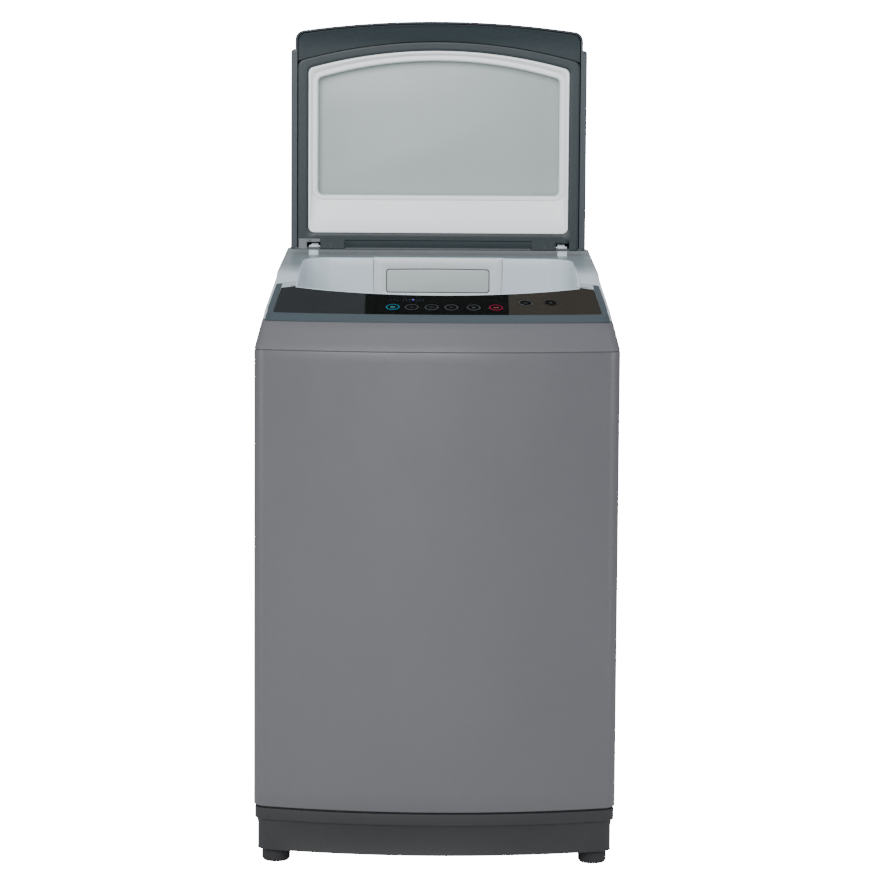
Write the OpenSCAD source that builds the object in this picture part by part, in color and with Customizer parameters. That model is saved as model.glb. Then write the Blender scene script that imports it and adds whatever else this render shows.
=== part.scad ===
// Top load washing machine with a bulged steel cabinet, a sloping control strip and a hinged lid.
// The origin is on the floor under the middle of the machine. +X is to the right as you face it,
// +Y points to the back and +Z is up. The lid is modelled open, upright against its stop.

/* [Cabinet] */
// Width across the steel cabinet
cabinet_width = 560; // [460:1:680]
// Depth from the crown of the bulged front to the back
cabinet_depth = 590; // [490:1:710]
// Height of the steel cabinet's top edge
seam_height = 796; // [660:1:960]
// Height of the steel cabinet's bottom edge
base_top = 90; // [80:1:110]
// Radius of the bulged front, seen from above
bulge_radius = 900; // [750:10:1400]
// Radius of the two upright front corners
corner_radius = 28; // [22:1:36]
// Thickness of the sheet steel
sheet = 1.2; // [0.8:0.1:2]
// Width of the cabinet's folded edge along the bottom
bottom_flange = 14; // [12:1:20]
// Width of the cabinet's folded edges at the back
rear_flange = 18; // [14:1:24]

/* [Base and feet] */
// Gap between the floor and the base
floor_gap = 21; // [16:1:26]
// Height of the base's upper band
base_band = 18; // [12:1:24]
// Height of the shadow gap between the base and the cabinet
shadow_gap = 3; // [2:0.5:5]
// How far the base's upper band is set in from the cabinet
band_inset = 1.7; // [1:0.1:4]
// How far the base's lower part is set in from the cabinet
skirt_inset = 5.1; // [4.5:0.1:8]
// Thickness of the base's wall below its lower face
base_wall = 4.5; // [3.5:0.5:6]
// Diameter of a foot's rubber pad
foot_diameter = 44; // [36:1:50]
// Height of a foot's pad
foot_pad_height = 24; // [20:1:26]
// Radius of a foot's threaded stud
stud_radius = 5; // [4:0.5:6]
// Distance from the cabinet's side to the middle of a foot
foot_side_inset = 34.4; // [33:0.1:44]
// Distance from the crown of the front to the middle of a front foot
foot_front_inset = 70; // [66:1:80]
// Distance from the back to the middle of a rear foot
foot_rear_inset = 38; // [36:1:60]

/* [Top cover] */
// Gap between the cabinet and the fascia
seam_gap = 1; // [0.5:0.1:2]
// Height of the fascia band
fascia_height = 43; // [36:1:50]
// How far each side leans in over one unit of height
side_lean = 0.255; // [0.2:0.005:0.28]
// How far the fascia's front leans back over its height
fascia_set_back = 20; // [16:1:24]
// Thickness of the cover's plastic walls
cover_wall = 3; // [2.5:0.1:4]
// Height of the trim bar below the control film
trim_height = 9; // [7:0.5:12]
// Depth of the trim bar, seen from above
trim_depth = 13; // [10:0.5:16]
// Width of the trim's two arms
trim_arm = 10; // [8:0.5:14]
// Rise of the control strip over one unit of depth
film_slope = 0.375; // [0.33:0.005:0.42]
// Thickness of the control film
film_thickness = 1.5; // [1:0.1:2]
// Rise of the deck over one unit of depth
deck_slope = 0.065; // [0.05:0.005:0.08]
// Height of the deck above the film's front edge, where the deck plane passes over the front lip
deck_height = 50; // [47:1:56]
// Distance from the cabinet's side to the loading opening
opening_side = 62; // [58:1:80]
// Distance from the crown of the front to the front lip
opening_front = 111; // [105:1:125]
// Distance from the back to the rear wall of the loading well
opening_rear = 155; // [150:1:175]
// Radius of the curved front lip
lip_radius = 470; // [420:10:600]

/* [Buttons] */
// Diameter of a button
button_diameter = 21; // [18:0.5:24]
// Gap between a button and its hole
button_gap = 0.4; // [0.3:0.1:0.8]
// Places of the buttons, left to right, measured from the middle
button_places = [-68.5, -39.5, -9, 21, 55, 89.5, 135, 174];

/* [Lid] */
// Distance from the back to the hinge axis
hinge_rear = 110; // [100:1:125]
// Height of the hinge axis above the deck
hinge_rise = 13.3; // [13:0.1:16]
// Height of the lid above its hinge axis when it stands open
lid_reach = 370; // [362:1:374]
// Distance of the lid's sides in from the cabinet's sides
lid_inset = 36.7; // [34:0.1:44]
// Thickness of the lid
lid_thickness = 40.5; // [36:0.5:46]
// Thickness of the lid's walls
lid_wall = 4; // [3:0.5:5]
// Radius of a hinge pin
pin_radius = 2.5; // [2:0.1:3]

/* [Tub and drive] */
// Gap between the cabinet's sides and the tub
tub_gap = 28.8; // [26:0.1:40]
// Wall of the plastic tub
tub_wall = 2.5; // [2:0.1:4]
// Gap between the tub and the basket
basket_gap = 11; // [9:0.5:16]
// Thickness of the basket's steel
basket_sheet = 1; // [0.6:0.1:1.5]
// Width of the balance ring
ring_width = 33; // [26:1:38]
// How far the tub can sink on its springs
tub_sink = 16; // [8:1:18]
// How far the tub can rise on its springs
tub_rise = 10; // [4:1:12]
// Running gap around every shaft
running_gap = 0.05; // [0.02:0.01:0.1]
// Radius of the large pulley
pulley_radius = 75; // [60:1:85]
// Radius of the motor's pulley
small_pulley_radius = 25; // [18:1:30]
// Radius of the motor's can
motor_radius = 60; // [50:1:64]

/* [Drawer] */
// Width of the detergent drawer's front
drawer_width = 211; // [180:1:220]
// Height of the detergent drawer's tray
drawer_height = 44; // [34:1:46]

/* [Hidden] */
$fn = 96;

// Colours
steel_grey = "#75757a";
dark_grey = "#47494b";
cover_light = "#bcc6cc";
trim_blue = "#60717b";
lid_dark = "#3f4d50";
bare_steel = "#b9bcc0";

// Cabinet
half_w = cabinet_width / 2;
front_y = -cabinet_depth / 2;
rear_y = cabinet_depth / 2;
bulge_y = front_y + bulge_radius;
eps = 0.01;
far = 3000;

// Top cover levels
fascia_base = seam_height + seam_gap;
fascia_top = fascia_base + fascia_height;
film_edge_z = fascia_top + trim_height;
lean_top = fascia_base + 100;
film_edge_radius = bulge_radius - fascia_set_back - trim_depth;
trim_back_radius = film_edge_radius - 5;
trim_proud = 0.8;
trim_margin = 4;
well_floor = seam_height - 14;
lip_width = 3;
lip_y = front_y + opening_front;
opening_half = half_w - opening_side;
opening_back = rear_y - opening_rear;
opening_corner = 30;
deck_start = front_y + 115;

// Half width of the leaning sides at height z.
function side_at(z) = half_w - side_lean * (min(z, lean_top) - fascia_base);
// Height of the deck at depth y.
function deck_at(y) = film_edge_z + deck_height + (y - deck_start) * deck_slope;

// Hinge and lid
hinge_y = rear_y - hinge_rear;
hinge_z = deck_at(hinge_y) + hinge_rise;
lid_front_y = hinge_y - 10.5;
lid_back_y = lid_front_y + lid_thickness;
lid_bottom = hinge_z - 5;
lid_tip = hinge_z + lid_reach;
boss_x = half_w - 74.5;
boss_half = 8;
boss_eye = 6;
notch_half = boss_half + 2.5;

// Tub, from the inside out
tub_radius = min(half_w, rear_y) - sheet - tub_gap;
basket_radius = tub_radius - tub_wall - basket_gap;
mouth_radius = basket_radius - ring_width;
pulsator_radius = basket_radius - 71;
tub_floor = base_top + 197;
tub_rim = seam_height - 51;
basket_floor = tub_floor + 13;
basket_top = tub_rim - 30;
motor_reach = tub_radius - motor_radius - 2;
motor_x = -motor_reach * cos(36);
motor_y = motor_reach * sin(36);
drain_angle = -25;
drain_reach = tub_radius - 76;
pump_x = drain_reach * cos(drain_angle);
pump_y = drain_reach * sin(drain_angle);
spin_radius = 15;
shaft_radius = 8;
belt_thickness = 5;
belt_gap = 0.4;
pulley_z = base_top + 18;
pulley_height = 18;

// Suspension rods
rod_radius = 3;
rod_x = half_w - 54;
rod_front = front_y + 83;
rod_rear = rear_y - 72;
rod_places = [[-rod_x, rod_front], [rod_x, rod_front], [-rod_x, rod_rear], [rod_x, rod_rear]];
bracket_z = seam_height - 44;
rod_bottom = tub_floor - 5;
spring_foot = rod_bottom + 5;
lug_z = tub_floor + 74;
cup_radius = 9;

// Feet
foot_x = half_w - foot_side_inset;
foot_front = front_y + foot_front_inset;
foot_rear = rear_y - foot_rear_inset;
foot_places = [[-foot_x, foot_front], [foot_x, foot_front], [-foot_x, foot_rear], [foot_x, foot_rear]];
tower_bottom = floor_gap + 13;
tower_top = base_top - 10;
nut_height = 5;

// Services at the back
service_half = 150;
service_low = base_top + 130;
service_high = base_top + 470;
pocket_wall = 1.2;
service_margin = 16;
pocket_depth = 22;
panel_out = rear_y - 4.2;
inlet_x = -145;
inlet_z = seam_height - 41;
inlet_spacing = 50;
port_radius = 13.2;
port_play = 1.4;
outlet_x = half_w - 90;
outlet_z = base_top + 60;
outlet_radius = 15;
gland_x = -half_w + 60;
gland_z = base_top + 110;
inlet_pocket = [inlet_spacing + 66, 66];
outlet_pocket = [66, 66];

// Drawer
drawer_y = opening_back + 7;
drawer_back = rear_y - 25;
drawer_half = drawer_width / 2;
drawer_floor = deck_at(drawer_y) - 62;
tray_half = drawer_half - 4;

// Trim, buttons and display
arm_end = front_y + 185;
button_ahead_left = 32;
button_ahead_right = 48;
display_places = [[-67, 18], [-38, 31]];
display_ahead = 58;
display_height = 13;

// Drive, pump and hose
gearcase_bottom = pulley_z + pulley_height + 44;
motor_bottom = pulley_z + pulley_height + 20;
pump_top = tub_floor;
hose_joint = base_top + 110;
spout_radius = 12;
hose_bend = 24;
pulsator_z = basket_floor + 9;

// Lid
lid_half = half_w - lid_inset;
flap_half = lid_half - 6.8;
shoulder_z = lid_tip - 50;
inner_half = lid_half - 11.7;
white_half = lid_half - 29.1;
window_half = lid_half - 44.3;
inner_crown = lid_tip - 33.5;
white_crown = lid_tip - 48;
window_crown = lid_tip - 64;
white_foot = lid_bottom + 28;
window_foot = lid_bottom + 90.5;
knuckle_span = 9;

// ---------------------------------------------------------------- shared shapes

// A flat outline with a crowned top edge, whose arc runs tangent into two corner arcs.
module crowned(half, crown, crown_r, corner_r, foot, foot_r) {
    cx = half - corner_r;
    cz = crown - crown_r + sqrt(pow(crown_r - corner_r, 2) - cx * cx);
    turn = asin(cx / (crown_r - corner_r));
    polygon(concat(
        arc([half - foot_r, foot + foot_r], foot_r, -90, 0, 4),
        arc([cx, cz], corner_r, 0, 90 - turn, 6),
        arc([0, crown - crown_r], crown_r, 90 - turn + turn / 12, 90 + turn - turn / 12, 22),
        arc([-cx, cz], corner_r, 90 + turn, 180, 6),
        arc([-half + foot_r, foot + foot_r], foot_r, 180, 270, 4)
    ));
}

// Points along an arc about a centre, from one angle to another.
function arc(centre, r, from, to, steps) = [
    for (i = [0:steps]) let(a = from + (to - from) * i / steps) centre + r * [cos(a), sin(a)]
];

// The cabinet's outline seen from above, pulled in by inset.
module plan(inset) {
    mirror([0, 1]) crowned(half_w - inset, -front_y - inset, bulge_radius - inset,
        corner_radius - inset, -rear_y + inset, 2);
}

// Points of the same outline, for shapes whose sides lean. The front bulge and its two corners
// are arcs, and the back is square.
function plan_points(inset) = let(
    corner_x = half_w - corner_radius,
    corner_y = bulge_y - sqrt(pow(bulge_radius - corner_radius, 2) - corner_x * corner_x),
    turn = asin(corner_x / (bulge_radius - corner_radius)),
    small = corner_radius - inset,
    big = bulge_radius - inset,
    back = rear_y - inset
) concat(
    [for (i = [0:6]) let(a = 180 + i * (90 - turn) / 6)
        [-corner_x + small * cos(a), corner_y + small * sin(a)]],
    [for (i = [1:23]) let(a = 270 - turn + i * 2 * turn / 24)
        [big * cos(a), bulge_y + big * sin(a)]],
    [for (i = [0:6]) let(a = 270 + turn + i * (90 - turn) / 6)
        [corner_x + small * cos(a), corner_y + small * sin(a)]],
    [[half_w - inset, back], [-half_w + inset, back]]
);

// A block on the cabinet's outline whose sides and front lean in between two heights.
module leaning(inset, z0, z1, half0, half1, set0, set1) {
    grow = [half0 / half_w, (cabinet_depth - set0) / cabinet_depth];
    shrink = [half1 / half0, (cabinet_depth - set1) / (cabinet_depth - set0)];
    translate([0, rear_y, z0]) linear_extrude(z1 - z0, scale = shrink, slices = 1)
        scale([grow[0], grow[1], 1]) translate([0, -rear_y]) polygon(plan_points(inset));
}

// Everything under the control strip's conical surface, lifted by d.
module under_cone(d) {
    outer = bulge_radius + 60;
    low = well_floor - 40;
    translate([0, bulge_y, 0]) rotate_extrude($fn = 240) polygon([
        [0, low], [outer, low],
        [outer, film_edge_z + d - (outer - film_edge_radius) * film_slope],
        [0, film_edge_z + d + film_edge_radius * film_slope]
    ]);
}

// Everything under the deck plane, lifted by d.
module under_deck(d) {
    rotate([90, 0, 90]) linear_extrude(2 * half_w, center = true) polygon([
        [front_y - 10, well_floor - 20], [rear_y + 10, well_floor - 20],
        [rear_y + 10, deck_at(rear_y + 10) + d], [front_y - 10, deck_at(front_y - 10) + d]
    ]);
}

// The space between the leaning sides, pulled in by margin.
module between_sides(margin) {
    high = lean_top + 80;
    translate([0, rear_y, 0]) rotate([90, 0, 0]) linear_extrude(cabinet_depth + 10) polygon([
        [-side_at(fascia_base) + margin, fascia_base], [side_at(fascia_base) - margin, fascia_base],
        [side_at(lean_top) - margin, lean_top], [side_at(lean_top) - margin, high],
        [-side_at(lean_top) + margin, high], [-side_at(lean_top) + margin, lean_top]
    ]);
}

// An upright ring about the bulge's axis, between two radii.
module bulge_ring(r0, r1, z0, z1) {
    translate([0, bulge_y, z0]) difference() {
        cylinder(r = r1, h = z1 - z0, $fn = 240);
        translate([0, 0, -1]) cylinder(r = r0, h = z1 - z0 + 2, $fn = 240);
    }
}

// The loading opening seen from above, grown by grow.
module opening(grow) {
    half = opening_half + grow;
    back = opening_back + grow;
    corner = opening_corner + grow;
    intersection() {
        translate([0, lip_y + lip_radius]) circle(lip_radius + grow, $fn = 240);
        translate([-half, lip_y - grow - 1]) square([2 * half, back - corner - lip_y + grow + 1]);
    }
    translate([-half + corner, 0]) square([2 * (half - corner), back]);
    for (side = [-1, 1])
        translate([side * (half - corner), back - corner]) circle(corner);
}

// Places its children on the control strip at the distance x from the middle, with +Z pointing
// out of the strip. ahead is how far the place lies behind the strip's front edge.
module on_strip(x, ahead) {
    r = film_edge_radius - ahead;
    translate([0, bulge_y, 0]) rotate([0, 0, asin(x / r)])
        translate([0, -r, film_edge_z + ahead * film_slope])
            rotate([atan(film_slope), 0, 0]) children();
}

// An outline in X and Z, given thickness between two depths.
module upright(y0, y1) {
    translate([0, y1, 0]) rotate([90, 0, 0]) linear_extrude(y1 - y0) children();
}

// A block between two opposite corners.
module block(low, high) {
    translate(low) cube(high - low);
}

// A tube along +Z.
module tube(outer, inner, h) {
    difference() {
        cylinder(r = outer, h = h);
        translate([0, 0, -1]) cylinder(r = inner, h = h + 2);
    }
}

// ---------------------------------------------------------------- cabinet

// The steel shell: bulged front, two sides, and edges folded in along the bottom and the back.
module cabinet_wrapper() {
    color(steel_grey) difference() {
        translate([0, 0, base_top]) linear_extrude(seam_height - base_top) plan(0);
        translate([0, 0, base_top + sheet]) linear_extrude(seam_height) plan(sheet);
        linear_extrude(seam_height) plan(bottom_flange);
        block([-half_w + rear_flange, rear_y - 10, base_top - 1],
            [half_w - rear_flange, rear_y + 10, seam_height + 1]);
    }
}

// The pressed cup around a hose port, and its hollow.
module pocket_floor(x, z, w, h) {
    block([x - w / 2 - pocket_wall, panel_out - pocket_depth - pocket_wall, z - h / 2 - pocket_wall],
        [x + w / 2 + pocket_wall, panel_out - 0.6, z + h / 2 + pocket_wall]);
}

module pocket_hollow(x, z, w, h) {
    block([x - w / 2, panel_out - pocket_depth, z - h / 2],
        [x + w / 2, rear_y + 1, z + h / 2]);
}

// The back panel, with a pressed step around its edge, pockets for the hose ports and a
// service opening.
module rear_panel() {
    edge = half_w - sheet;
    color(steel_grey) difference() {
        union() {
            difference() {
                intersection() {
                    block([-edge, panel_out - sheet, base_top + sheet], [edge, rear_y, seam_height]);
                    linear_extrude(seam_height + 1) plan(sheet);
                }
                block([-edge + 30, panel_out, base_top + 24], [edge - 30, rear_y, seam_height - 10]);
                difference() {
                    block([-edge - 1, panel_out - sheet - 1, base_top],
                        [edge + 1, rear_y - 2 * sheet, seam_height + 1]);
                    block([-edge + 30 - sheet, panel_out - sheet - 2, base_top + 24 - sheet],
                        [edge - 30 + sheet, rear_y, seam_height - 10 + sheet]);
                }
            }
            pocket_floor(inlet_x, inlet_z, inlet_pocket[0], inlet_pocket[1]);
            pocket_floor(outlet_x, outlet_z, outlet_pocket[0], outlet_pocket[1]);
        }
        pocket_hollow(inlet_x, inlet_z, inlet_pocket[0], inlet_pocket[1]);
        pocket_hollow(outlet_x, outlet_z, outlet_pocket[0], outlet_pocket[1]);
        block([-service_half, panel_out - 10, service_low], [service_half, rear_y, service_high]);
        for (side = [-1, 1])
            translate([inlet_x + side * inlet_spacing / 2, rear_y, inlet_z]) rotate([90, 0, 0])
                cylinder(r = port_radius + port_play, h = 60);
        translate([outlet_x, rear_y, outlet_z]) rotate([90, 0, 0])
            cylinder(r = outlet_radius + port_play, h = 60);
        translate([gland_x, rear_y, gland_z]) rotate([90, 0, 0]) cylinder(r = 8, h = 30);
    }
}

// The plate that closes the service opening, with louvres.
module service_cover() {
    color(steel_grey) difference() {
        block([-service_half - service_margin, panel_out, service_low - service_margin],
            [service_half + service_margin, panel_out + 0.8, service_high + service_margin]);
        for (row = [0:5])
            block([-60, panel_out - 1, service_high - 50 - row * 14],
                [60, panel_out + 2, service_high - 46 - row * 14]);
    }
}

// The dark plastic base: a lower skirt, a proud upper band and a neck that carries the cabinet.
// Four towers take the feet.
module base_frame() {
    band_bottom = base_top - shadow_gap - base_band;
    wall_in = skirt_inset + base_wall;
    color(dark_grey) difference() {
        union() {
            difference() {
                union() {
                    translate([0, 0, floor_gap]) linear_extrude(band_bottom - floor_gap)
                        plan(skirt_inset);
                    translate([0, 0, band_bottom]) linear_extrude(base_band) plan(band_inset);
                    translate([0, 0, band_bottom]) linear_extrude(base_band + shadow_gap)
                        plan(skirt_inset + 1);
                }
                translate([0, 0, floor_gap - 1]) linear_extrude(base_top) plan(wall_in);
            }
            for (p = foot_places) {
                translate([p[0], p[1], tower_bottom]) cylinder(r = 14, h = tower_top - tower_bottom);
                block([min(p[0], sign(p[0]) * (half_w - wall_in + 2)), p[1] - 3, tower_bottom + 8],
                    [max(p[0], sign(p[0]) * (half_w - wall_in + 2)), p[1] + 3, tower_top]);
            }
        }
        for (p = foot_places)
            translate([p[0], p[1], 0]) cylinder(r = stud_radius + running_gap, h = base_top);
    }
}

// Four steel gussets in the cabinet's top corners, which the suspension rods hang from.
module corner_brackets() {
    size = 80;
    color(bare_steel) for (p = rod_places) {
        difference() {
            intersection() {
                translate([0, 0, bracket_z]) linear_extrude(3) plan(sheet);
                translate([p[0] + sign(p[0]) * 20, p[1] + sign(p[1]) * 30, bracket_z + 1])
                    cube([size, size + 40, 10], center = true);
                block([-half_w, front_y, 0], [half_w, panel_out - sheet, seam_height]);
            }
            translate([p[0], p[1], bracket_z - 1]) cylinder(r = 5, h = 10);
        }
    }
}

// ---------------------------------------------------------------- top

// The grey band under the control strip, with a lip that drops inside the cabinet's front and sides.
module front_fascia() {
    color(steel_grey) {
        difference() {
            leaning(0, fascia_base, fascia_top, half_w, side_at(fascia_top), 0, fascia_set_back);
            leaning(cover_wall, fascia_base - eps, fascia_top + eps, half_w, side_at(fascia_top),
                0, fascia_set_back);
        }
        translate([0, 0, fascia_base - 8]) linear_extrude(8 + eps) difference() {
            plan(sheet + 0.5);
            plan(cover_wall + 0.5);
            translate([-half_w, panel_out - sheet - 0.5]) square([2 * half_w, 40]);
        }
    }
}

module cover_block(inset) {
    set_back = fascia_set_back;
    intersection() {
        union() {
            leaning(inset, fascia_top, lean_top, side_at(fascia_top), side_at(lean_top),
                set_back, set_back);
            leaning(inset, lean_top, lean_top + 50, side_at(lean_top), side_at(lean_top),
                set_back, set_back);
        }
        translate([0, bulge_y, 0]) cylinder(r = trim_back_radius - 0.3 - inset, h = far, $fn = 240);
    }
}

// One of the two hinge bosses that stand on the deck.
module hinge_boss() {
    difference() {
        union() {
            translate([-boss_half, hinge_y, hinge_z]) rotate([0, 90, 0])
                cylinder(r = boss_eye, h = 2 * boss_half);
            block([-boss_half, hinge_y - boss_eye, deck_at(hinge_y) - 2],
                [boss_half, hinge_y + boss_eye, hinge_z]);
        }
        translate([-boss_half - 1, hinge_y, hinge_z]) rotate([0, 90, 0])
            cylinder(r = pin_radius + running_gap, h = 2 * boss_half + 2);
    }
}

// The light top cover: leaning sides, sloping deck, and the loading well with its curved lip.
module top_cover() {
    wall = cover_wall;
    color(cover_light) {
        difference() {
            union() {
                difference() {
                    intersection() {
                        cover_block(0);
                        under_cone(-film_thickness);
                        under_deck(0);
                    }
                    intersection() {
                        translate([0, 0, -eps]) cover_block(wall);
                        under_cone(-film_thickness - wall);
                        under_deck(-wall);
                    }
                }
                intersection() {
                    translate([0, 0, well_floor]) linear_extrude(far) opening(lip_width);
                    translate([0, 0, well_floor - 1]) cover_core();
                }
            }
            translate([0, 0, well_floor + wall]) linear_extrude(far) opening(0);
            translate([0, 0, well_floor - 1]) linear_extrude(10) intersection() {
                opening(-10);
                circle(mouth_radius - 1);
            }
            block([-drawer_half - 0.8, opening_back - 6, drawer_floor - 4],
                [drawer_half + 0.8, drawer_y + 0.6, far]);
            for (x = button_places) button_hole(x);
            display_cut(0.3);
        }
        for (side = [-1, 1]) translate([side * boss_x, 0, 0]) hinge_boss();
    }
}

// The space that the well's walls may fill: under the lip's surface and under the deck.
module cover_core() {
    intersection() {
        translate([-half_w, front_y, 0]) cube([cabinet_width, cabinet_depth, far]);
        translate([0, 0, 1 - well_floor]) under_cone(trim_proud);
        translate([0, 0, 1 - well_floor]) under_deck(0);
    }
}

// The trim: a bar in front of the control film and an arm up each side of it.
module trim_frame() {
    color(trim_blue) {
        intersection() {
            translate([0, bulge_y, 0]) rotate_extrude($fn = 240) polygon([
                [trim_back_radius, fascia_top + 0.2],
                [bulge_radius - fascia_set_back - 0.4, fascia_top + 0.2],
                [film_edge_radius + 0.6, film_edge_z + 0.2],
                [film_edge_radius, film_edge_z + trim_proud],
                [trim_back_radius, film_edge_z + trim_proud + (film_edge_radius - trim_back_radius)
                    * film_slope]
            ]);
            between_sides(trim_margin);
            block([-half_w, front_y, 0], [half_w, 0, far]);
        }
        intersection() {
            difference() {
                under_cone(trim_proud);
                under_cone(-film_thickness);
                translate([0, 0, fascia_base]) between_sides_cut();
            }
            between_sides(trim_margin);
            translate([0, bulge_y, 0]) cylinder(r = trim_back_radius + 0.2, h = far, $fn = 240);
            block([-half_w, front_y, 0], [half_w, arm_end, far]);
        }
    }
}

// The space between the two trim arms.
module between_sides_cut() {
    translate([0, 0, -fascia_base]) between_sides(trim_margin + trim_arm);
}

// Round and square holes through the control strip.
function button_ahead(x) = x > 110 ? button_ahead_right : button_ahead_left;

module button_hole(x) {
    on_strip(x, button_ahead(x)) translate([0, 0, -14])
        cylinder(d = button_diameter + 2 * button_gap, h = 20);
}

module display_cut(gap) {
    for (d = display_places)
        on_strip(d[0], display_ahead)
            translate([-d[1] / 2 - gap, -display_height / 2 - gap, -2.5])
                cube([d[1] + 2 * gap, display_height + 2 * gap, 8]);
}

// The dark film over the control strip.
module control_film() {
    color("#26292b") difference() {
        intersection() {
            under_cone(0);
            between_sides(trim_margin + trim_arm + 0.2);
            bulge_ring(500, trim_back_radius - 0.2, fascia_base, film_edge_z + 80);
            block([-half_w, front_y, 0], [half_w, arm_end, far]);
        }
        under_cone(-film_thickness + eps);
        translate([0, 0, fascia_base]) linear_extrude(far) opening(lip_width + 0.2);
        for (x = button_places) button_hole(x);
        display_cut(0.3);
        under_cut_deck();
    }
}

// Clears the film where the deck rises out of the strip.
module under_cut_deck() {
    difference() {
        block([-half_w, front_y, fascia_base], [half_w, rear_y, far]);
        under_deck(-0.2);
    }
}

// Two clear display windows set in the film.
module display_window() {
    color("#0b1020") for (d = display_places)
        on_strip(d[0], display_ahead)
            translate([-d[1] / 2, -display_height / 2, -2])
                cube([d[1], display_height, 1.9]);
}

// Two circuit boards under the strip, with a switch under each button.
module control_board() {
    depth = opening_front - fascia_set_back - trim_depth - 22;
    color("#1d5a34") {
        on_strip(10, 34) translate([-112, -22, -20]) cube([224, depth, 1.6]);
        on_strip(154, 46) translate([-38, -20, -20]) cube([76, 44, 1.6]);
        for (x = button_places)
            on_strip(x, button_ahead(x)) translate([-3, -3, -21]) cube([6, 6, 9]);
    }
}

module button(x) {
    color("#8d9296") on_strip(x, button_ahead(x)) {
        translate([0, 0, -2.6]) cylinder(d = button_diameter, h = 3);
        translate([0, 0, -10]) cylinder(r = 3, h = 8);
    }
}

// The reed switch block that senses the lid, under the deck by the right hinge.
module lid_switch() {
    color("#e6e6e2") block([boss_x - 10, hinge_y + 12, deck_at(hinge_y) - 24],
        [boss_x + 14, hinge_y + 30, deck_at(hinge_y) - 5]);
}

// ---------------------------------------------------------------- detergent drawer

// The fixed water box behind the drawer's front.
module drawer_housing() {
    wall = 2.5;
    top = deck_at(drawer_y) - cover_wall - 3;
    color("#d9dddd") difference() {
        block([-tray_half - 0.6 - wall, drawer_y + 1, drawer_floor - 3 - wall],
            [tray_half + 0.6 + wall, drawer_back + 6, top]);
        block([-tray_half - 0.6, drawer_y, drawer_floor - 3],
            [tray_half + 0.6, drawer_back + 6 - wall, top - wall]);
    }
}

// The sliding tray, with a divider between powder and softener.
module detergent_drawer() {
    wall = 2;
    color("#cfd6da") difference() {
        block([-tray_half, drawer_y, drawer_floor - 2],
            [tray_half, drawer_back, drawer_floor + drawer_height]);
        block([-tray_half + wall, drawer_y + wall, drawer_floor],
            [30, drawer_back - wall, drawer_floor + drawer_height + 1]);
        block([30 + wall, drawer_y + wall, drawer_floor],
            [tray_half - wall, drawer_back - wall, drawer_floor + drawer_height + 1]);
    }
}

// The drawer's front, flush with the rear wall of the well.
module drawer_front() {
    color("#c9cfd2") difference() {
        block([-drawer_half, opening_back, drawer_floor - 3],
            [drawer_half, drawer_y, deck_at(drawer_y)]);
        upright(opening_back - 1, opening_back + 1.5)
            crowned(85, deck_at(drawer_y) - 18, 4000, 5, drawer_floor + 4, 5);
    }
}

// ---------------------------------------------------------------- services

// The twin inlet valve with two threaded ports.
module inlet_valve() {
    inner = panel_out - pocket_depth - pocket_wall;
    color("#e4e4dc") {
        block([inlet_x - 42, inner - 22, inlet_z - 14], [inlet_x + 42, inner, inlet_z + 14]);
        for (side = [-1, 1]) translate([inlet_x + side * inlet_spacing / 2, 0, inlet_z]) {
            translate([0, inner - 1, 0]) rotate([-90, 0, 0])
                difference() {
                    cylinder(r = port_radius, h = pocket_depth - 1);
                    translate([0, 0, 5]) cylinder(r = 9, h = 60);
                }
            translate([0, inner - 12, 13]) cylinder(r = 10, h = 22);
        }
    }
}

// The level sensor on the back panel.
module pressure_switch() {
    color("#e9e7dc") translate([half_w - 150, panel_out - sheet - 20, seam_height - 96])
        rotate([-90, 0, 0]) {
            cylinder(r = 25, h = 20);
            translate([0, 12, -7]) cylinder(r = 5, h = 8);
        }
}

// The spigot that the outside drain hose pushes on.
module drain_outlet() {
    inner = panel_out - pocket_depth - pocket_wall;
    color("#3a3c3e") translate([outlet_x, 0, outlet_z]) rotate([-90, 0, 0]) difference() {
        union() {
            translate([0, 0, inner - 4]) cylinder(r = outlet_radius + 8, h = 4);
            translate([0, 0, inner - 12]) cylinder(r = outlet_radius, h = pocket_depth + 12);
        }
        translate([0, 0, inner - 20]) cylinder(r = outlet_radius - 2.5, h = pocket_depth + 30);
    }
}

// The grommet where the supply lead leaves the back panel.
module cord_gland() {
    color("#1c1c1e") translate([gland_x, panel_out - sheet - 3, gland_z]) rotate([-90, 0, 0])
        difference() {
            union() {
                cylinder(r = 7.8, h = 7);
                translate([0, 0, 3 + sheet]) cylinder(r = 11, h = 2.6);
            }
            translate([0, 0, -1]) cylinder(r = 4, h = 20);
        }
}

// Pan-head screws of the service cover.
module case_screws() {
    x = service_half + service_margin / 2;
    middle = (service_low + service_high) / 2;
    color(bare_steel) for (side = [-1, 1])
        for (z = [service_low - service_margin / 2, middle, service_high + service_margin / 2])
            translate([side * x, panel_out + 0.8, z]) rotate([-90, 0, 0]) cylinder(r = 4, h = 2.2);
}

// ---------------------------------------------------------------- feet

module lock_nuts() {
    color(bare_steel) for (p = foot_places)
        translate([p[0], p[1], tower_bottom - nut_height]) difference() {
            cylinder(r = 9.8, h = nut_height, $fn = 6);
            translate([0, 0, -1]) cylinder(r = stud_radius + running_gap, h = nut_height + 2);
        }
}

// A rubber pad moulded on its threaded stud.
module foot(p) {
    chamfer = 3;
    color("#1b1b1d") translate([p[0], p[1], 0]) {
        cylinder(r1 = foot_diameter / 2 - chamfer, r2 = foot_diameter / 2, h = chamfer);
        translate([0, 0, chamfer - eps]) cylinder(d = foot_diameter, h = foot_pad_height - 2 - chamfer);
        cylinder(r = foot_diameter / 2 - 4, h = foot_pad_height);
        translate([0, 0, foot_pad_height - 2])
            cylinder(r = stud_radius, h = tower_top - foot_pad_height - 6);
    }
}

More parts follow.
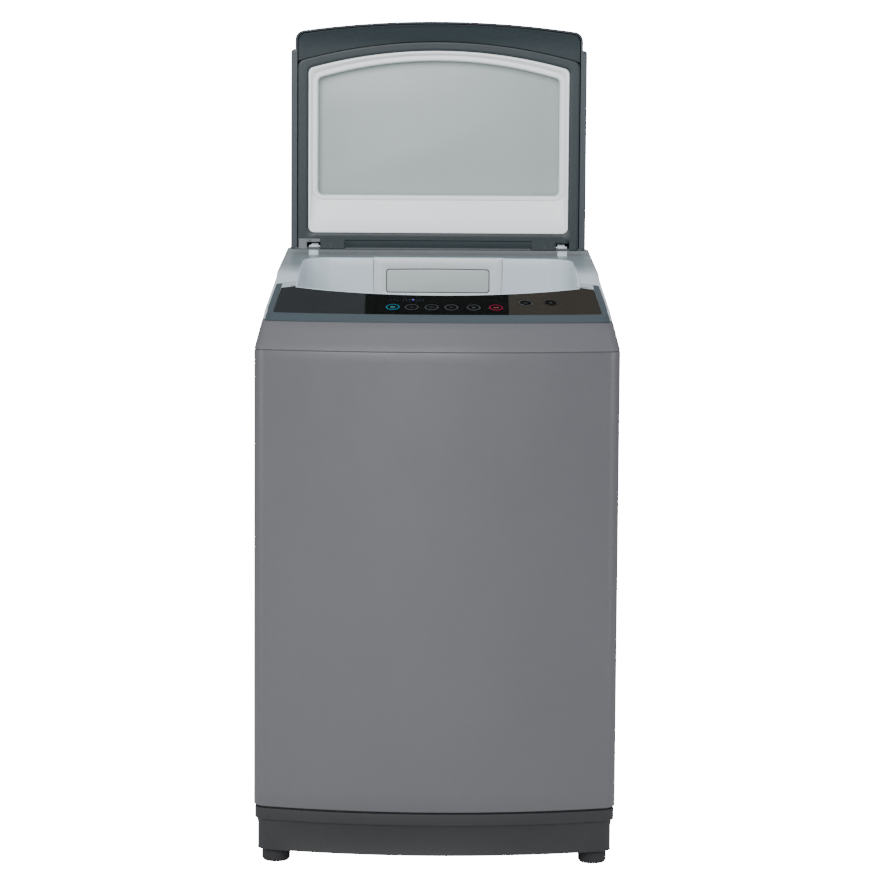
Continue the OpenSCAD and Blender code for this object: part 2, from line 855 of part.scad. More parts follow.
// ---------------------------------------------------------------- tub

module outer_tub() {
    color("#dfe3e4") difference() {
        union() {
            rotate_extrude() polygon([
                [34, tub_floor], [tub_radius - 8, tub_floor], [tub_radius, tub_floor + 8],
                [tub_radius, tub_rim], [tub_radius - tub_wall, tub_rim],
                [tub_radius - tub_wall, tub_floor + 10], [tub_radius - 10, tub_floor + 3],
                [34, tub_floor + 3]
            ]);
            for (p = rod_places) {
                span = norm(p);
                rotate([0, 0, atan2(p[1], p[0])])
                    block([tub_radius - 1, -16, lug_z], [span + 16, 16, lug_z + 12]);
            }
        }
        for (p = rod_places) translate([p[0], p[1], 0]) cylinder(r = cup_radius, h = far);
        translate([pump_x, pump_y, tub_floor - 1]) cylinder(r = 14, h = 10);
    }
}

module tub_ring() {
    color("#e3e6e7") rotate_extrude() polygon([
        [mouth_radius + 2, tub_rim + 8], [mouth_radius + 2, tub_rim + 11],
        [tub_radius + 3, tub_rim + 4], [tub_radius + 3, tub_rim - 12],
        [tub_radius + 0.2, tub_rim - 12], [tub_radius + 0.2, tub_rim], [tub_radius - 6, tub_rim]
    ]);
}

// The steel frame under the tub that carries the gearcase and the motor.
module tub_bracket() {
    color("#8a8d90") translate([0, 0, tub_floor - 5]) linear_extrude(5) difference() {
        union() {
            circle(120);
            rotate(144) translate([60, -50]) square([motor_reach - 20, 100]);
            rotate(drain_angle) translate([60, -30]) square([drain_reach - 80, 60]);
        }
        circle(40);
    }
}

// The sealed gearcase with its spin bearing on top and the input bore below.
module gearcase() {
    color("#9a9da0") difference() {
        union() {
            translate([0, 0, gearcase_bottom]) cylinder(r = 60, h = tub_floor - 5 - gearcase_bottom - 8);
            translate([0, 0, tub_floor - 14]) cylinder(r = 90, h = 9);
            translate([0, 0, tub_floor - 6]) cylinder(r = 33, h = 16);
            translate([0, 0, gearcase_bottom - 26]) cylinder(r = 24, h = 30);
        }
        translate([0, 0, tub_floor - 60]) cylinder(r = spin_radius + running_gap, h = 100);
        translate([0, 0, gearcase_bottom - 30]) cylinder(r = shaft_radius + running_gap, h = 60);
    }
}

// The belt around the two pulleys.
module drive_belt() {
    module loop(grow) hull() {
        circle(pulley_radius + grow);
        translate([motor_x, motor_y]) circle(small_pulley_radius + grow);
    }
    color("#202022") translate([0, 0, pulley_z + 4]) linear_extrude(pulley_height - 8) difference() {
        loop(belt_gap + belt_thickness);
        loop(belt_gap);
    }
}

module motor() {
    color("#3d4043") translate([motor_x, motor_y, 0]) difference() {
        union() {
            translate([0, 0, motor_bottom + 8]) cylinder(r = motor_radius, h = 92);
            translate([0, 0, motor_bottom]) cylinder(r = motor_radius - 12, h = 108);
            for (turn = [0:90:270]) rotate([0, 0, turn + 20])
                translate([motor_radius - 12, 0, motor_bottom + 98])
                cylinder(r = 7, h = tub_floor - 5 - motor_bottom - 98);
        }
        translate([0, 0, motor_bottom - 1]) cylinder(r = 6 + running_gap, h = 70);
    }
}

module drain_pump() {
    color("#55585b") translate([pump_x, pump_y, 0]) {
        translate([0, 0, hose_joint + 40]) cylinder(r = 34, h = pump_top - hose_joint - 58);
        translate([0, 0, pump_top - 20]) cylinder(r = 13, h = 24);
        translate([0, 0, hose_joint - 6]) difference() {
            cylinder(r = spout_radius, h = 48);
            translate([0, 0, -1]) cylinder(r = spout_radius - 2, h = 40);
        }
    }
}

// The rubber hose from the pump's spout to the outlet at the back.
module drain_hose() {
    outer = spout_radius + 4;
    inner = spout_radius + 0.4;
    end = panel_out - pocket_depth - pocket_wall - 12;
    color("#2a2b2d") difference() {
        hose_run(outer, 0);
        hose_run(inner, 1);
        block([outlet_x - 40, end, outlet_z - 40], [outlet_x + 40, rear_y, outlet_z + 40]);
    }
}

// The hose's run at one radius: down from the pump, round a bend, and level to the outlet.
// past carries both ends on a little, for the bore.
module hose_run(r, past) {
    way = [outlet_x - pump_x, panel_out - pocket_depth - pocket_wall - 10 - pump_y];
    translate([pump_x, pump_y, outlet_z]) rotate([0, 0, atan2(way[1], way[0])]) {
        translate([0, 0, hose_bend]) cylinder(r = r, h = hose_joint + 18 - outlet_z - hose_bend + past);
        translate([hose_bend, 0, hose_bend]) rotate([90, 0, 0]) rotate([0, 0, 180])
            rotate_extrude(angle = 90) translate([hose_bend, 0]) circle(r);
        translate([hose_bend, 0, 0]) rotate([0, 90, 0]) cylinder(r = r, h = norm(way) - hose_bend + past);
    }
}

// ---------------------------------------------------------------- suspension

module suspension_rods() {
    color(bare_steel) for (p = rod_places) translate([p[0], p[1], 0]) {
        translate([0, 0, rod_bottom]) cylinder(r = rod_radius, h = bracket_z + 9 - rod_bottom);
        translate([0, 0, rod_bottom]) cylinder(r = 13, h = 5);
        translate([0, 0, bracket_z + 3]) cylinder(r = 8, h = 7);
    }
}

module suspension_springs() {
    color("#7b7e82") for (p = rod_places)
        translate([p[0], p[1], spring_foot]) tube(10, 7, lug_z - 8 - spring_foot);
}

module spring_cups() {
    color("#e8e8e4") for (p = rod_places) translate([p[0], p[1], lug_z - 8]) difference() {
        union() {
            cylinder(r = 13, h = 8);
            cylinder(r = cup_radius, h = 20);
        }
        translate([0, 0, -1]) cylinder(r = rod_radius + running_gap, h = 30);
    }
}

// ---------------------------------------------------------------- basket and pulsator

module wash_basket() {
    rows = 5;
    columns = 12;
    color("#c3c6c8") difference() {
        rotate_extrude() polygon([
            [basket_radius - basket_sheet, basket_floor], [basket_radius, basket_floor],
            [basket_radius, basket_top], [basket_radius - basket_sheet, basket_top]
        ]);
        for (row = [0:rows - 1]) for (column = [0:columns - 1])
            rotate([0, 0, (column + row / 2) * 360 / columns])
                translate([basket_radius - 8, 0,
                    basket_floor + 80 + row * (basket_top - basket_floor - 140) / rows])
                    rotate([0, 90, 0]) cylinder(r = 4, h = 16);
    }
}

// The basket's plastic bottom on the hollow spin shaft.
module basket_hub() {
    inside = basket_radius - basket_sheet - 0.1;
    color("#d3d8da") {
        difference() {
            rotate_extrude() polygon([
                [spin_radius - 3, basket_floor], [inside, basket_floor], [inside, basket_floor + 30],
                [inside - 3, basket_floor + 30], [inside - 6, basket_floor + 6],
                [spin_radius - 3, basket_floor + 6]
            ]);
            cylinder(r = shaft_radius + running_gap, h = far);
        }
        translate([0, 0, tub_floor - 56])
            tube(spin_radius, shaft_radius + running_gap, basket_floor - tub_floor + 58);
    }
}

module balance_ring() {
    color("#e6eaeb") rotate_extrude() polygon([
        [mouth_radius, basket_top + 4], [mouth_radius + 4, basket_top], [basket_radius, basket_top],
        [basket_radius, basket_top + 28], [basket_radius - 4, basket_top + 32],
        [mouth_radius + 4, basket_top + 32], [mouth_radius, basket_top + 28]
    ]);
}

// Two lint filter cassettes on the basket's wall.
module lint_filters() {
    room = basket_top - basket_floor;
    low = basket_floor + room * 0.29;
    tall = room * 0.41;
    color("#b8c7d6") for (side = [-1, 1]) intersection() {
        translate([0, 0, low]) tube(basket_radius - basket_sheet - 0.2, basket_radius - 18, tall);
        translate([side * basket_radius, 0, low + tall / 2]) cube([60, 92, tall + 20], center = true);
    }
}

module pulsator() {
    color("#c6d0d6") difference() {
        union() {
            rotate_extrude() polygon([
                [0, pulsator_z], [pulsator_radius - 14, pulsator_z], [pulsator_radius, pulsator_z + 12],
                [pulsator_radius - 3, pulsator_z + 14], [pulsator_radius - 40, pulsator_z + 8],
                [50, pulsator_z + 14], [34, pulsator_z + 30], [0, pulsator_z + 34]
            ]);
            for (turn = [0:60:300]) rotate([0, 0, turn])
                translate([0, 0, pulsator_z + 5]) rotate([90, 0, 0]) linear_extrude(12, center = true)
                    polygon([[30, 0], [pulsator_radius - 8, 0], [pulsator_radius - 8, 8],
                        [pulsator_radius - 50, 20], [30, 28]]);
        }
        translate([0, 0, pulsator_z - 1]) cylinder(r = shaft_radius, h = 21);
        cylinder(r = 4, h = far);
        translate([0, 0, pulsator_z + 28]) cylinder(r = 10, h = 20);
    }
}

module drive_shaft() {
    color(bare_steel) difference() {
        translate([0, 0, tub_floor - 54])
            cylinder(r = shaft_radius, h = pulsator_z + 19.5 - tub_floor + 54);
        translate([0, 0, pulsator_z]) cylinder(r = 4, h = 40);
    }
}

module pulsator_screw() {
    color(bare_steel) {
        translate([0, 0, pulsator_z + 1]) cylinder(r = 3.9, h = 28);
        translate([0, 0, pulsator_z + 28]) cylinder(r = 8.5, h = 5);
    }
}

// A flanged pulley for the flat of the belt.
module pulley(radius, hub, rim) {
    cylinder(r = radius, h = pulley_height);
    cylinder(r = radius + rim, h = 2.5);
    translate([0, 0, pulley_height - 2.5]) cylinder(r = radius + rim, h = 2.5);
    cylinder(r = hub, h = pulley_height + 6);
}

module input_pulley() {
    color("#a4a7aa") difference() {
        union() {
            translate([0, 0, pulley_z]) pulley(pulley_radius, 18, 7);
            translate([0, 0, pulley_z - 4]) cylinder(r = shaft_radius, h = gearcase_bottom + 20 - pulley_z);
        }
        for (turn = [0:60:300]) rotate([0, 0, turn])
            translate([pulley_radius * 0.6, 0, pulley_z - 5]) cylinder(r = 13, h = 40);
    }
}

module motor_pulley() {
    color("#a4a7aa") translate([motor_x, motor_y, 0]) {
        translate([0, 0, pulley_z]) pulley(small_pulley_radius, 12, 6);
        translate([0, 0, pulley_z - 4]) cylinder(r = 6, h = motor_bottom + 60 - pulley_z);
    }
}

// ---------------------------------------------------------------- lid

// The lid's outline: square shoulders with a narrower, crowned flap above them.
module lid_outline(inset) {
    half = lid_half - inset;
    top = shoulder_z - inset;
    polygon(concat(
        [[-half, lid_bottom + inset], [half, lid_bottom + inset]],
        arc([half - 6, top - 6], 6, 0, 90, 5),
        arc([-half + 6, top - 6], 6, 90, 180, 5)
    ));
    crowned(flap_half - inset, lid_tip - inset, 1600 - inset, 16 - inset, lid_bottom + 40, 2);
}

module window_outline(grow) {
    crowned(window_half + grow, window_crown + grow, 691 + grow, 8 + grow, window_foot - grow, 8 + grow);
}

// Clears the lid around the two hinge bosses.
module boss_notches() {
    for (side = [-1, 1])
        block([side * boss_x - notch_half, lid_front_y - 5, lid_bottom - 5],
            [side * boss_x + notch_half, hinge_y + boss_eye + 4.5, hinge_z + boss_eye + 5.5]);
}

module lid_outer_shell() {
    knuckle_reach = notch_half + knuckle_span + 1;
    color(lid_dark) difference() {
        upright(lid_front_y + 1.5, lid_back_y) lid_outline(0);
        upright(lid_front_y - 5, lid_back_y - lid_wall) lid_outline(lid_wall + 1);
        upright(lid_front_y, lid_back_y + 1) window_outline(2);
        boss_notches();
        for (side = [-1, 1])
            block([side * boss_x - knuckle_reach, lid_front_y, lid_bottom - 1],
                [side * boss_x + knuckle_reach, hinge_y + boss_eye + 2, lid_bottom + 12]);
    }
}

module lid_inner_shell() {
    face = lid_front_y;
    color(lid_dark) difference() {
        union() {
            upright(face, face + 5) crowned(inner_half, inner_crown, 836, 12, lid_bottom + 5.5, 5);
            for (side = [-1, 1]) {
                x0 = side * boss_x - notch_half - knuckle_span;
                x1 = side * boss_x + notch_half + knuckle_span;
                translate([x0, hinge_y, hinge_z]) rotate([0, 90, 0]) cylinder(r = 5, h = x1 - x0);
                block([x0, face + 1, hinge_z], [x1, hinge_y + 5, hinge_z + 16]);
            }
        }
        boss_notches();
        upright(face - 1, face + 6)
            crowned(white_half + 0.4, white_crown + 0.4, 788, 10, white_foot - 0.4, 10);
        for (side = [-1, 1]) translate([side * boss_x - 30, hinge_y, hinge_z]) rotate([0, 90, 0])
            cylinder(r = pin_radius, h = 60);
    }
}

module lid_inner_frame() {
    color("#d5dadb") difference() {
        upright(lid_front_y - 0.5, lid_back_y - lid_wall - 5)
            crowned(white_half, white_crown, 788, 10, white_foot, 10);
        upright(lid_front_y + 2.5, lid_back_y - lid_wall - 2)
            crowned(white_half - 3, white_crown - 3, 785, 7, white_foot + 3, 7);
        upright(lid_front_y - 2, lid_back_y) window_outline(0);
    }
}

// The frosted glass, clamped between the outer shell and a rim around the window.
module lid_glass() {
    color("#afb9b8") upright(lid_back_y - lid_wall - 4.8, lid_back_y - lid_wall - 0.2)
        window_outline(8);
}

// The handle flap along the lid's free edge, which leans forward to form a grip.
module lid_handle() {
    face = lid_front_y;
    color(lid_dark) difference() {
        intersection() {
            upright(face - 16, lid_back_y - lid_wall - 0.2) lid_outline(lid_wall + 1.2);
            rotate([90, 0, 90]) linear_extrude(2 * half_w, center = true) polygon([
                [face + 5.2, lid_tip - 80], [face + 1, lid_tip - 34], [face - 14, lid_tip],
                [lid_back_y, lid_tip], [lid_back_y, lid_tip - 80]
            ]);
        }
        upright(face - 20, lid_back_y) crowned(inner_half + 20, inner_crown + 1, 836, 12, lid_bottom, 5);
    }
}

module hinge_pins() {
    reach = notch_half + knuckle_span - 1;
    color(bare_steel) for (side = [-1, 1])
        translate([side * boss_x - reach, hinge_y, hinge_z]) rotate([0, 90, 0])
            cylinder(r = pin_radius, h = 2 * reach);
}

// The pale cover over the closing damper, beside the left hinge.
module damper_cover() {
    face = lid_front_y;
    color("#8d9096") difference() {
        block([-inner_half + 1, face - 1, lid_bottom + 0.5],
            [-boss_x + notch_half + 1, face - 0.1, lid_bottom + 22]);
        boss_notches();
    }
}

// ---------------------------------------------------------------- what is drawn

cabinet_wrapper();
rear_panel();
service_cover();
base_frame();
corner_brackets();
front_fascia();
top_cover();
trim_frame();
control_film();
display_window();
control_board();
drawer_housing();
inlet_valve();
pressure_switch();
drain_outlet();
cord_gland();
lid_switch();
case_screws();
lock_nuts();
suspension_rods();
outer_tub();
tub_ring();
tub_bracket();
gearcase();
drive_belt();
motor();
drain_pump();
drain_hose();
suspension_springs();
spring_cups();
wash_basket();
basket_hub();
balance_ring();
lint_filters();
pulsator();
drive_shaft();
pulsator_screw();
input_pulley();
motor_pulley();
detergent_drawer();
drawer_front();
lid_outer_shell();
lid_inner_shell();
lid_inner_frame();
lid_glass();
lid_handle();
hinge_pins();
damper_cover();
for (i = [0:7]) button(button_places[i]);
foot(foot_places[0]);  // foot_front_left
foot(foot_places[1]);  // foot_front_right
foot(foot_places[2]);  // foot_rear_left
foot(foot_places[3]);  // foot_rear_right
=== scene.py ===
# %% [markdown]
# # A top load washing machine, dressed for the studio
# The CAD model already has every part in its true place. Here each visible part gets the
# smooth surface and the finish that the real machine has. The real one is made of a few
# materials only: painted sheet steel, moulded plastic, stainless steel and glass.

# %% Load the CAD model
import math

import bmesh
import bpy
import numpy as np
from mathutils import Matrix, Vector


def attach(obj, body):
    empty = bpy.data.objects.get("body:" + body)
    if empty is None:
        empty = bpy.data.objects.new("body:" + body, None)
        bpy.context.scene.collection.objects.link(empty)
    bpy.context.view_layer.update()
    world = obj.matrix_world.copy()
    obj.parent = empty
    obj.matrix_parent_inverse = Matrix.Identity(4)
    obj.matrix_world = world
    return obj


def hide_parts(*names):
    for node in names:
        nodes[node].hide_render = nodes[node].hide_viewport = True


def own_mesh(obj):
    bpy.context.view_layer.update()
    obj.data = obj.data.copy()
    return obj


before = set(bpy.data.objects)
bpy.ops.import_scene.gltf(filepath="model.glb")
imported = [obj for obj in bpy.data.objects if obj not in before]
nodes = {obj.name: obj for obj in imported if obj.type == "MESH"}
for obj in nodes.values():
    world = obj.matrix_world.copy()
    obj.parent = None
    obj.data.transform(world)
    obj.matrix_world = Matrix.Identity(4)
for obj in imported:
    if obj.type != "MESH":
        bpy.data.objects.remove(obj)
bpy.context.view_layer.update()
scene = bpy.context.scene

# %% [markdown]
# ## The camera
# The machine is seen from the front, a little above its top, from about five metres. A long
# lens keeps its sides almost parallel. The camera is turned a third of a degree about its own
# axis, as a hand-held one often is.

# %% Camera
camera_data = bpy.data.cameras.new("camera")
camera_data.lens = 128.7
camera_data.sensor_width = 36
camera_data.shift_x = -0.0002
camera = bpy.data.objects.new("camera", camera_data)
pitch, roll = math.radians(84.1), math.radians(0.38)
camera.matrix_world = (
    Matrix.Translation((0, -5.04, 1.1531))
    @ Matrix.Rotation(pitch, 4, "X")
    @ Matrix.Rotation(roll, 4, "Z")
)
scene.collection.objects.link(camera)
scene.camera = camera
print("camera at", tuple(round(v, 3) for v in camera.location))

# %% [markdown]
# ## Numbers that every piece shares
# All pieces are drawn in millimetres and shrunk to metres when they become meshes. The numbers
# are those of the CAD model, because the pieces must sit exactly where its solids are.

# %% Main sizes in millimetres
half_w, front_y, rear_y = 280.0, -295.0, 295.0
bulge_y, bulge_r = 605.0, 900.0
fascia_z, fascia_top = 797.0, 840.0
film_z, film_r = 849.0, 867.0
hinge_y, hinge_z = 185.0, 936.025
lid_low, lid_tip = 931.025, 1306.025


def side_at(z):
    """Half width of the leaning sides: 280 at the seam, less 0.255 for each unit of height."""
    return half_w - 0.255 * (np.clip(z, fascia_z, 897.0) - fascia_z)


def deck_at(y):
    """Height of the deck: a plane that rises 0.065 for each unit of depth."""
    return 899.0 + (y + 180.0) * 0.065


def strip_at(x, y):
    """Height of the control strip: a cone about the upright axis of the bulged front."""
    return film_z + (film_r - np.hypot(x, y - bulge_y)) * 0.375


print("deck at the hinge", round(float(deck_at(hinge_y)), 2))

# %% [markdown]
# ## Outlines
# Nearly every part of this machine has the same kind of outline: a straight foot, two straight
# sides, and a crowned edge that runs tangent into two rounded corners. One function draws them
# all, always with the same number of points, so that any two of them can be joined by a skin.

# %% Arcs and crowned outlines


def arc(centre, radius, start, end, count):
    """Points at centre + radius * (cos a, sin a) as a runs evenly from start to end, in degrees."""
    a = np.radians(np.linspace(start, end, count))
    return np.stack([centre[0] + radius * np.cos(a), centre[1] + radius * np.sin(a)], axis=1)


def straight(a, b, count):
    """Points strictly between a and b, evenly spaced."""
    t = np.linspace(0, 1, count + 2)[1:-1, None]
    return np.asarray(a) * (1 - t) + np.asarray(b) * t


def crowned(half, crown, crown_r, corner_r, foot, foot_r):
    """A closed outline, anticlockwise from the right foot corner. The crown's arc has its
    centre at crown - crown_r, and each corner's centre lies where both arcs share a tangent."""
    cu = half - corner_r
    cw = crown - crown_r + math.sqrt((crown_r - corner_r) ** 2 - cu * cu)
    turn = math.degrees(math.asin(cu / (crown_r - corner_r)))
    right_foot = arc((half - foot_r, foot + foot_r), foot_r, -90, 0, 7)
    left_foot = arc((-half + foot_r, foot + foot_r), foot_r, 180, 270, 7)
    right = arc((cu, cw), corner_r, 0, 90 - turn, 11)
    left = arc((-cu, cw), corner_r, 90 + turn, 180, 11)
    top = arc((0, crown - crown_r), crown_r, 90 - turn, 90 + turn, 61)[1:-1]
    return np.vstack([
        right_foot, straight(right_foot[-1], right[0], 16), right, top, left,
        straight(left[-1], left_foot[0], 16), left_foot, straight(left_foot[-1], right_foot[0], 39),
    ])


def plan(inset, corner=28.0, back=2.0):
    """The cabinet's outline from above, pulled in by inset, with its crown at the front."""
    ring = crowned(half_w - inset, -front_y - inset, bulge_r - inset,
                   max(corner - inset, 2.0), -rear_y + inset, back)
    return ring * [1, -1]


print("an outline has", len(plan(0)), "points")

# %% [markdown]
# ## From points to pieces
# A skin is a grid of points. Each row is one outline, and neighbouring rows are joined by
# four-sided faces. Pieces made this way stay light, and their curves stay exact.

# %% Grids, skins and pieces


def grid_faces(rows, columns, wrap_rows=False, wrap_columns=True):
    """Quads between grid points (i, j), (i, j+1), (i+1, j+1) and (i+1, j)."""
    i = np.arange(rows if wrap_rows else rows - 1)[:, None]
    j = np.arange(columns if wrap_columns else columns - 1)[None, :]
    i2, j2 = (i + 1) % rows, (j + 1) % columns
    quads = np.stack([i * columns + j, i * columns + j2, i2 * columns + j2, i2 * columns + j], -1)
    return quads.reshape(-1, 4)


def skin(rings, wrap_rows=False, wrap_columns=True, caps=False):
    """Points and faces of a stack of rings. caps closes the first and the last ring."""
    rings = np.asarray(rings, float)
    rows, columns = rings.shape[:2]
    faces = grid_faces(rows, columns, wrap_rows, wrap_columns).tolist()
    if caps:
        faces.append(list(range(columns))[::-1])
        faces.append(list(range((rows - 1) * columns, rows * columns)))
    return rings.reshape(-1, 3), faces


def turned(profile, middle=(0.0, 0.0), steps=96):
    """A solid of revolution about an upright axis: (r cos a, r sin a, z) for each (r, z) of a
    closed profile. Points on the axis fall together and are merged."""
    a = np.linspace(0, 2 * math.pi, steps, endpoint=False)
    profile = np.asarray(profile, float)
    r, z = profile[:, :1], profile[:, 1:]
    grid = np.stack([middle[0] + r * np.cos(a), middle[1] + r * np.sin(a), z + 0 * a], -1)
    return skin(grid, wrap_rows=True)


def swept(sections):
    """A profile carried along an open path: rows along the path, columns round the profile,
    closed by a cap at each end."""
    return skin(sections, caps=True)


def joined(*parts):
    """Several sets of points and faces as one."""
    points, faces, start = [], [], 0
    for p, f in parts:
        points.append(p)
        faces += [[v + start for v in face] for face in f]
        start += len(p)
    return np.vstack(points), faces


def box(low, high):
    """The eight corners and six sides of a block."""
    (x0, y0, z0), (x1, y1, z1) = low, high
    p = np.array([[x, y, z] for z in (z0, z1) for y in (y0, y1) for x in (x0, x1)], float)
    f = [[0, 2, 3, 1], [4, 5, 7, 6], [0, 1, 5, 4], [2, 6, 7, 3], [0, 4, 6, 2], [1, 3, 7, 5]]
    return p, f


def piece(name, surface, material, body, replaces=(), crease=35, bevel=0.0,
          thickness=0.0, closed=True):
    """Turns millimetre points and faces into a smooth-shaded object that rides on a body."""
    points, faces = surface
    mesh = bpy.data.meshes.new(name)
    mesh.from_pydata((np.asarray(points) * 0.001).tolist(), [], faces)
    work = bmesh.new()
    work.from_mesh(mesh)
    bmesh.ops.remove_doubles(work, verts=work.verts, dist=1e-6)
    if closed:
        bmesh.ops.recalc_face_normals(work, faces=work.faces)
    work.to_mesh(mesh)
    work.free()
    mesh.shade_smooth()
    mesh.set_sharp_from_angle(angle=math.radians(crease))
    mesh.materials.append(material)
    thing = bpy.data.objects.new(name, mesh)
    scene.collection.objects.link(thing)
    if thickness:
        wall = thing.modifiers.new("wall", "SOLIDIFY")
        wall.thickness, wall.offset = thickness * 0.001, -1
    if bevel:
        edge = thing.modifiers.new("edge", "BEVEL")
        edge.width, edge.segments = bevel * 0.001, 2
        edge.limit_method, edge.angle_limit = "ANGLE", math.radians(50)
    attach(thing, body)
    if replaces:
        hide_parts(*replaces)
    print(name, len(mesh.polygons), "faces")
    return thing


# %% [markdown]
# ## Finishes
# What makes a surface look real is small: the orange peel of sprayed paint, the fine grain of a
# moulded panel, a thin film of dust on what faces up, and edges that hands have polished. Each
# of these is one shader group, built once, and every material uses it at its own strength.

# %% A helper for shader groups and node wiring


def new_group(name, inputs, outputs):
    """An empty shader group with named value or colour sockets."""
    group = bpy.data.node_groups.new(name, "ShaderNodeTree")
    kinds = {"value": "NodeSocketFloat", "colour": "NodeSocketColor", "vector": "NodeSocketVector"}
    for label, kind, default in inputs:
        socket = group.interface.new_socket(label, in_out="INPUT", socket_type=kinds[kind])
        if default is not None:
            socket.default_value = default
    for label, kind in outputs:
        group.interface.new_socket(label, in_out="OUTPUT", socket_type=kinds[kind])
    return group, group.nodes.new("NodeGroupInput"), group.nodes.new("NodeGroupOutput")


def node(tree, kind, **settings):
    """Adds a node. Settings named in_NAME or in_0 fill its sockets, the rest its properties."""
    made = tree.nodes.new("ShaderNode" + kind)
    for key, value in settings.items():
        if not key.startswith("in_"):
            setattr(made, key, value)
            continue
        label = key[3:].replace("_", " ")
        socket = made.inputs[int(label)] if label.isdigit() else made.inputs[label]
        if isinstance(value, bpy.types.NodeSocket):
            tree.links.new(value, socket)
        else:
            socket.default_value = value
    return made


def maths(tree, operation, a, b=0.5, clamp=False):
    """The result of one Math node."""
    return node(tree, "Math", operation=operation, use_clamp=clamp, in_0=a, in_1=b).outputs[0]


def ramp(tree, value, low, high):
    """0 below low, 1 above high, and smooth between."""
    return node(tree, "MapRange", interpolation_type="SMOOTHSTEP", in_Value=value,
                in_From_Min=low, in_From_Max=high).outputs[0]


def mix(tree, factor, a, b):
    """Colour a where factor is 0, colour b where it is 1."""
    made = tree.nodes.new("ShaderNodeMix")
    made.data_type = "RGBA"
    for socket, value in ((made.inputs[0], factor), (made.inputs[6], a), (made.inputs[7], b)):
        if isinstance(value, bpy.types.NodeSocket):
            tree.links.new(value, socket)
        else:
            socket.default_value = value
    return made.outputs[2]


def tint(hex_colour):
    """A listed colour, as linear light for the shader."""
    s = np.array([int(hex_colour[i:i + 2], 16) for i in (1, 3, 5)]) / 255
    linear = np.where(s <= 0.04045, s / 12.92, ((s + 0.055) / 1.055) ** 2.4)
    return (*[float(v) for v in linear], 1.0)


# %% The shared effects
# Grain is two sizes of noise added up: the coarse one drifts in tone, the fine one is the
# texture that fingers feel.
grain, inside, outside = new_group(
    "surface grain",
    [("Vector", "vector", None), ("Fine", "value", 900.0), ("Coarse", "value", 6.0)],
    [("Height", "value"), ("Drift", "value")],
)
fine = node(grain, "TexNoise", in_Vector=inside.outputs["Vector"], in_Scale=inside.outputs["Fine"],
            in_Detail=2.0)
coarse = node(grain, "TexNoise", in_Vector=inside.outputs["Vector"],
              in_Scale=inside.outputs["Coarse"], in_Detail=3.0)
grain.links.new(fine.outputs[0], outside.inputs["Height"])
grain.links.new(coarse.outputs[0], outside.inputs["Drift"])

# Dust settles on what faces up, in soft patches.
dust, inside, outside = new_group(
    "settled dust",
    [("Vector", "vector", None), ("Normal", "vector", None), ("Amount", "value", 0.1)],
    [("Mask", "value")],
)
up = node(dust, "SeparateXYZ", in_0=inside.outputs["Normal"]).outputs[2]
patches = node(dust, "TexNoise", in_Vector=inside.outputs["Vector"], in_Scale=14.0, in_Detail=6.0)
lying = maths(dust, "MULTIPLY", ramp(dust, up, 0.3, 0.95), ramp(dust, patches.outputs[0], 0.3, 0.75))
dust.links.new(maths(dust, "MULTIPLY", lying, inside.outputs["Amount"], True), outside.inputs["Mask"])

# Worn edges: sharply curved places come out of Pointiness above one half.
wear, inside, outside = new_group(
    "edge wear",
    [("Vector", "vector", None), ("Pointiness", "value", 0.5), ("Amount", "value", 0.3)],
    [("Mask", "value")],
)
sharp = ramp(wear, inside.outputs["Pointiness"], 0.53, 0.62)
breakup = node(wear, "TexNoise", in_Vector=inside.outputs["Vector"], in_Scale=60.0, in_Detail=4.0)
patchy = maths(wear, "MULTIPLY", sharp, ramp(wear, breakup.outputs[0], 0.35, 0.65))
wear.links.new(maths(wear, "MULTIPLY", patchy, inside.outputs["Amount"], True), outside.inputs["Mask"])

# Handling: faint smears change how clean the gloss is, not the colour.
smears, inside, outside = new_group(
    "smears", [("Vector", "vector", None), ("Amount", "value", 0.05)], [("Extra", "value")]
)
stretched = node(smears, "Mapping", in_Vector=inside.outputs["Vector"], in_Scale=(5.0, 5.0, 1.6))
smudge = node(smears, "TexNoise", in_Vector=stretched.outputs[0], in_Scale=3.0, in_Detail=5.0,
              in_Distortion=1.2)
smears.links.new(maths(smears, "MULTIPLY", ramp(smears, smudge.outputs[0], 0.4, 0.75),
                       inside.outputs["Amount"]), outside.inputs["Extra"])
print("shader groups:", [g.name for g in bpy.data.node_groups])

# %% [markdown]
# ## One recipe for every opaque finish
# Paint, plastic, rubber and metal differ in a handful of numbers: base colour, gloss, grain
# size and depth, how much the tone drifts, and how much dust and wear they show.

# %% The finish recipe


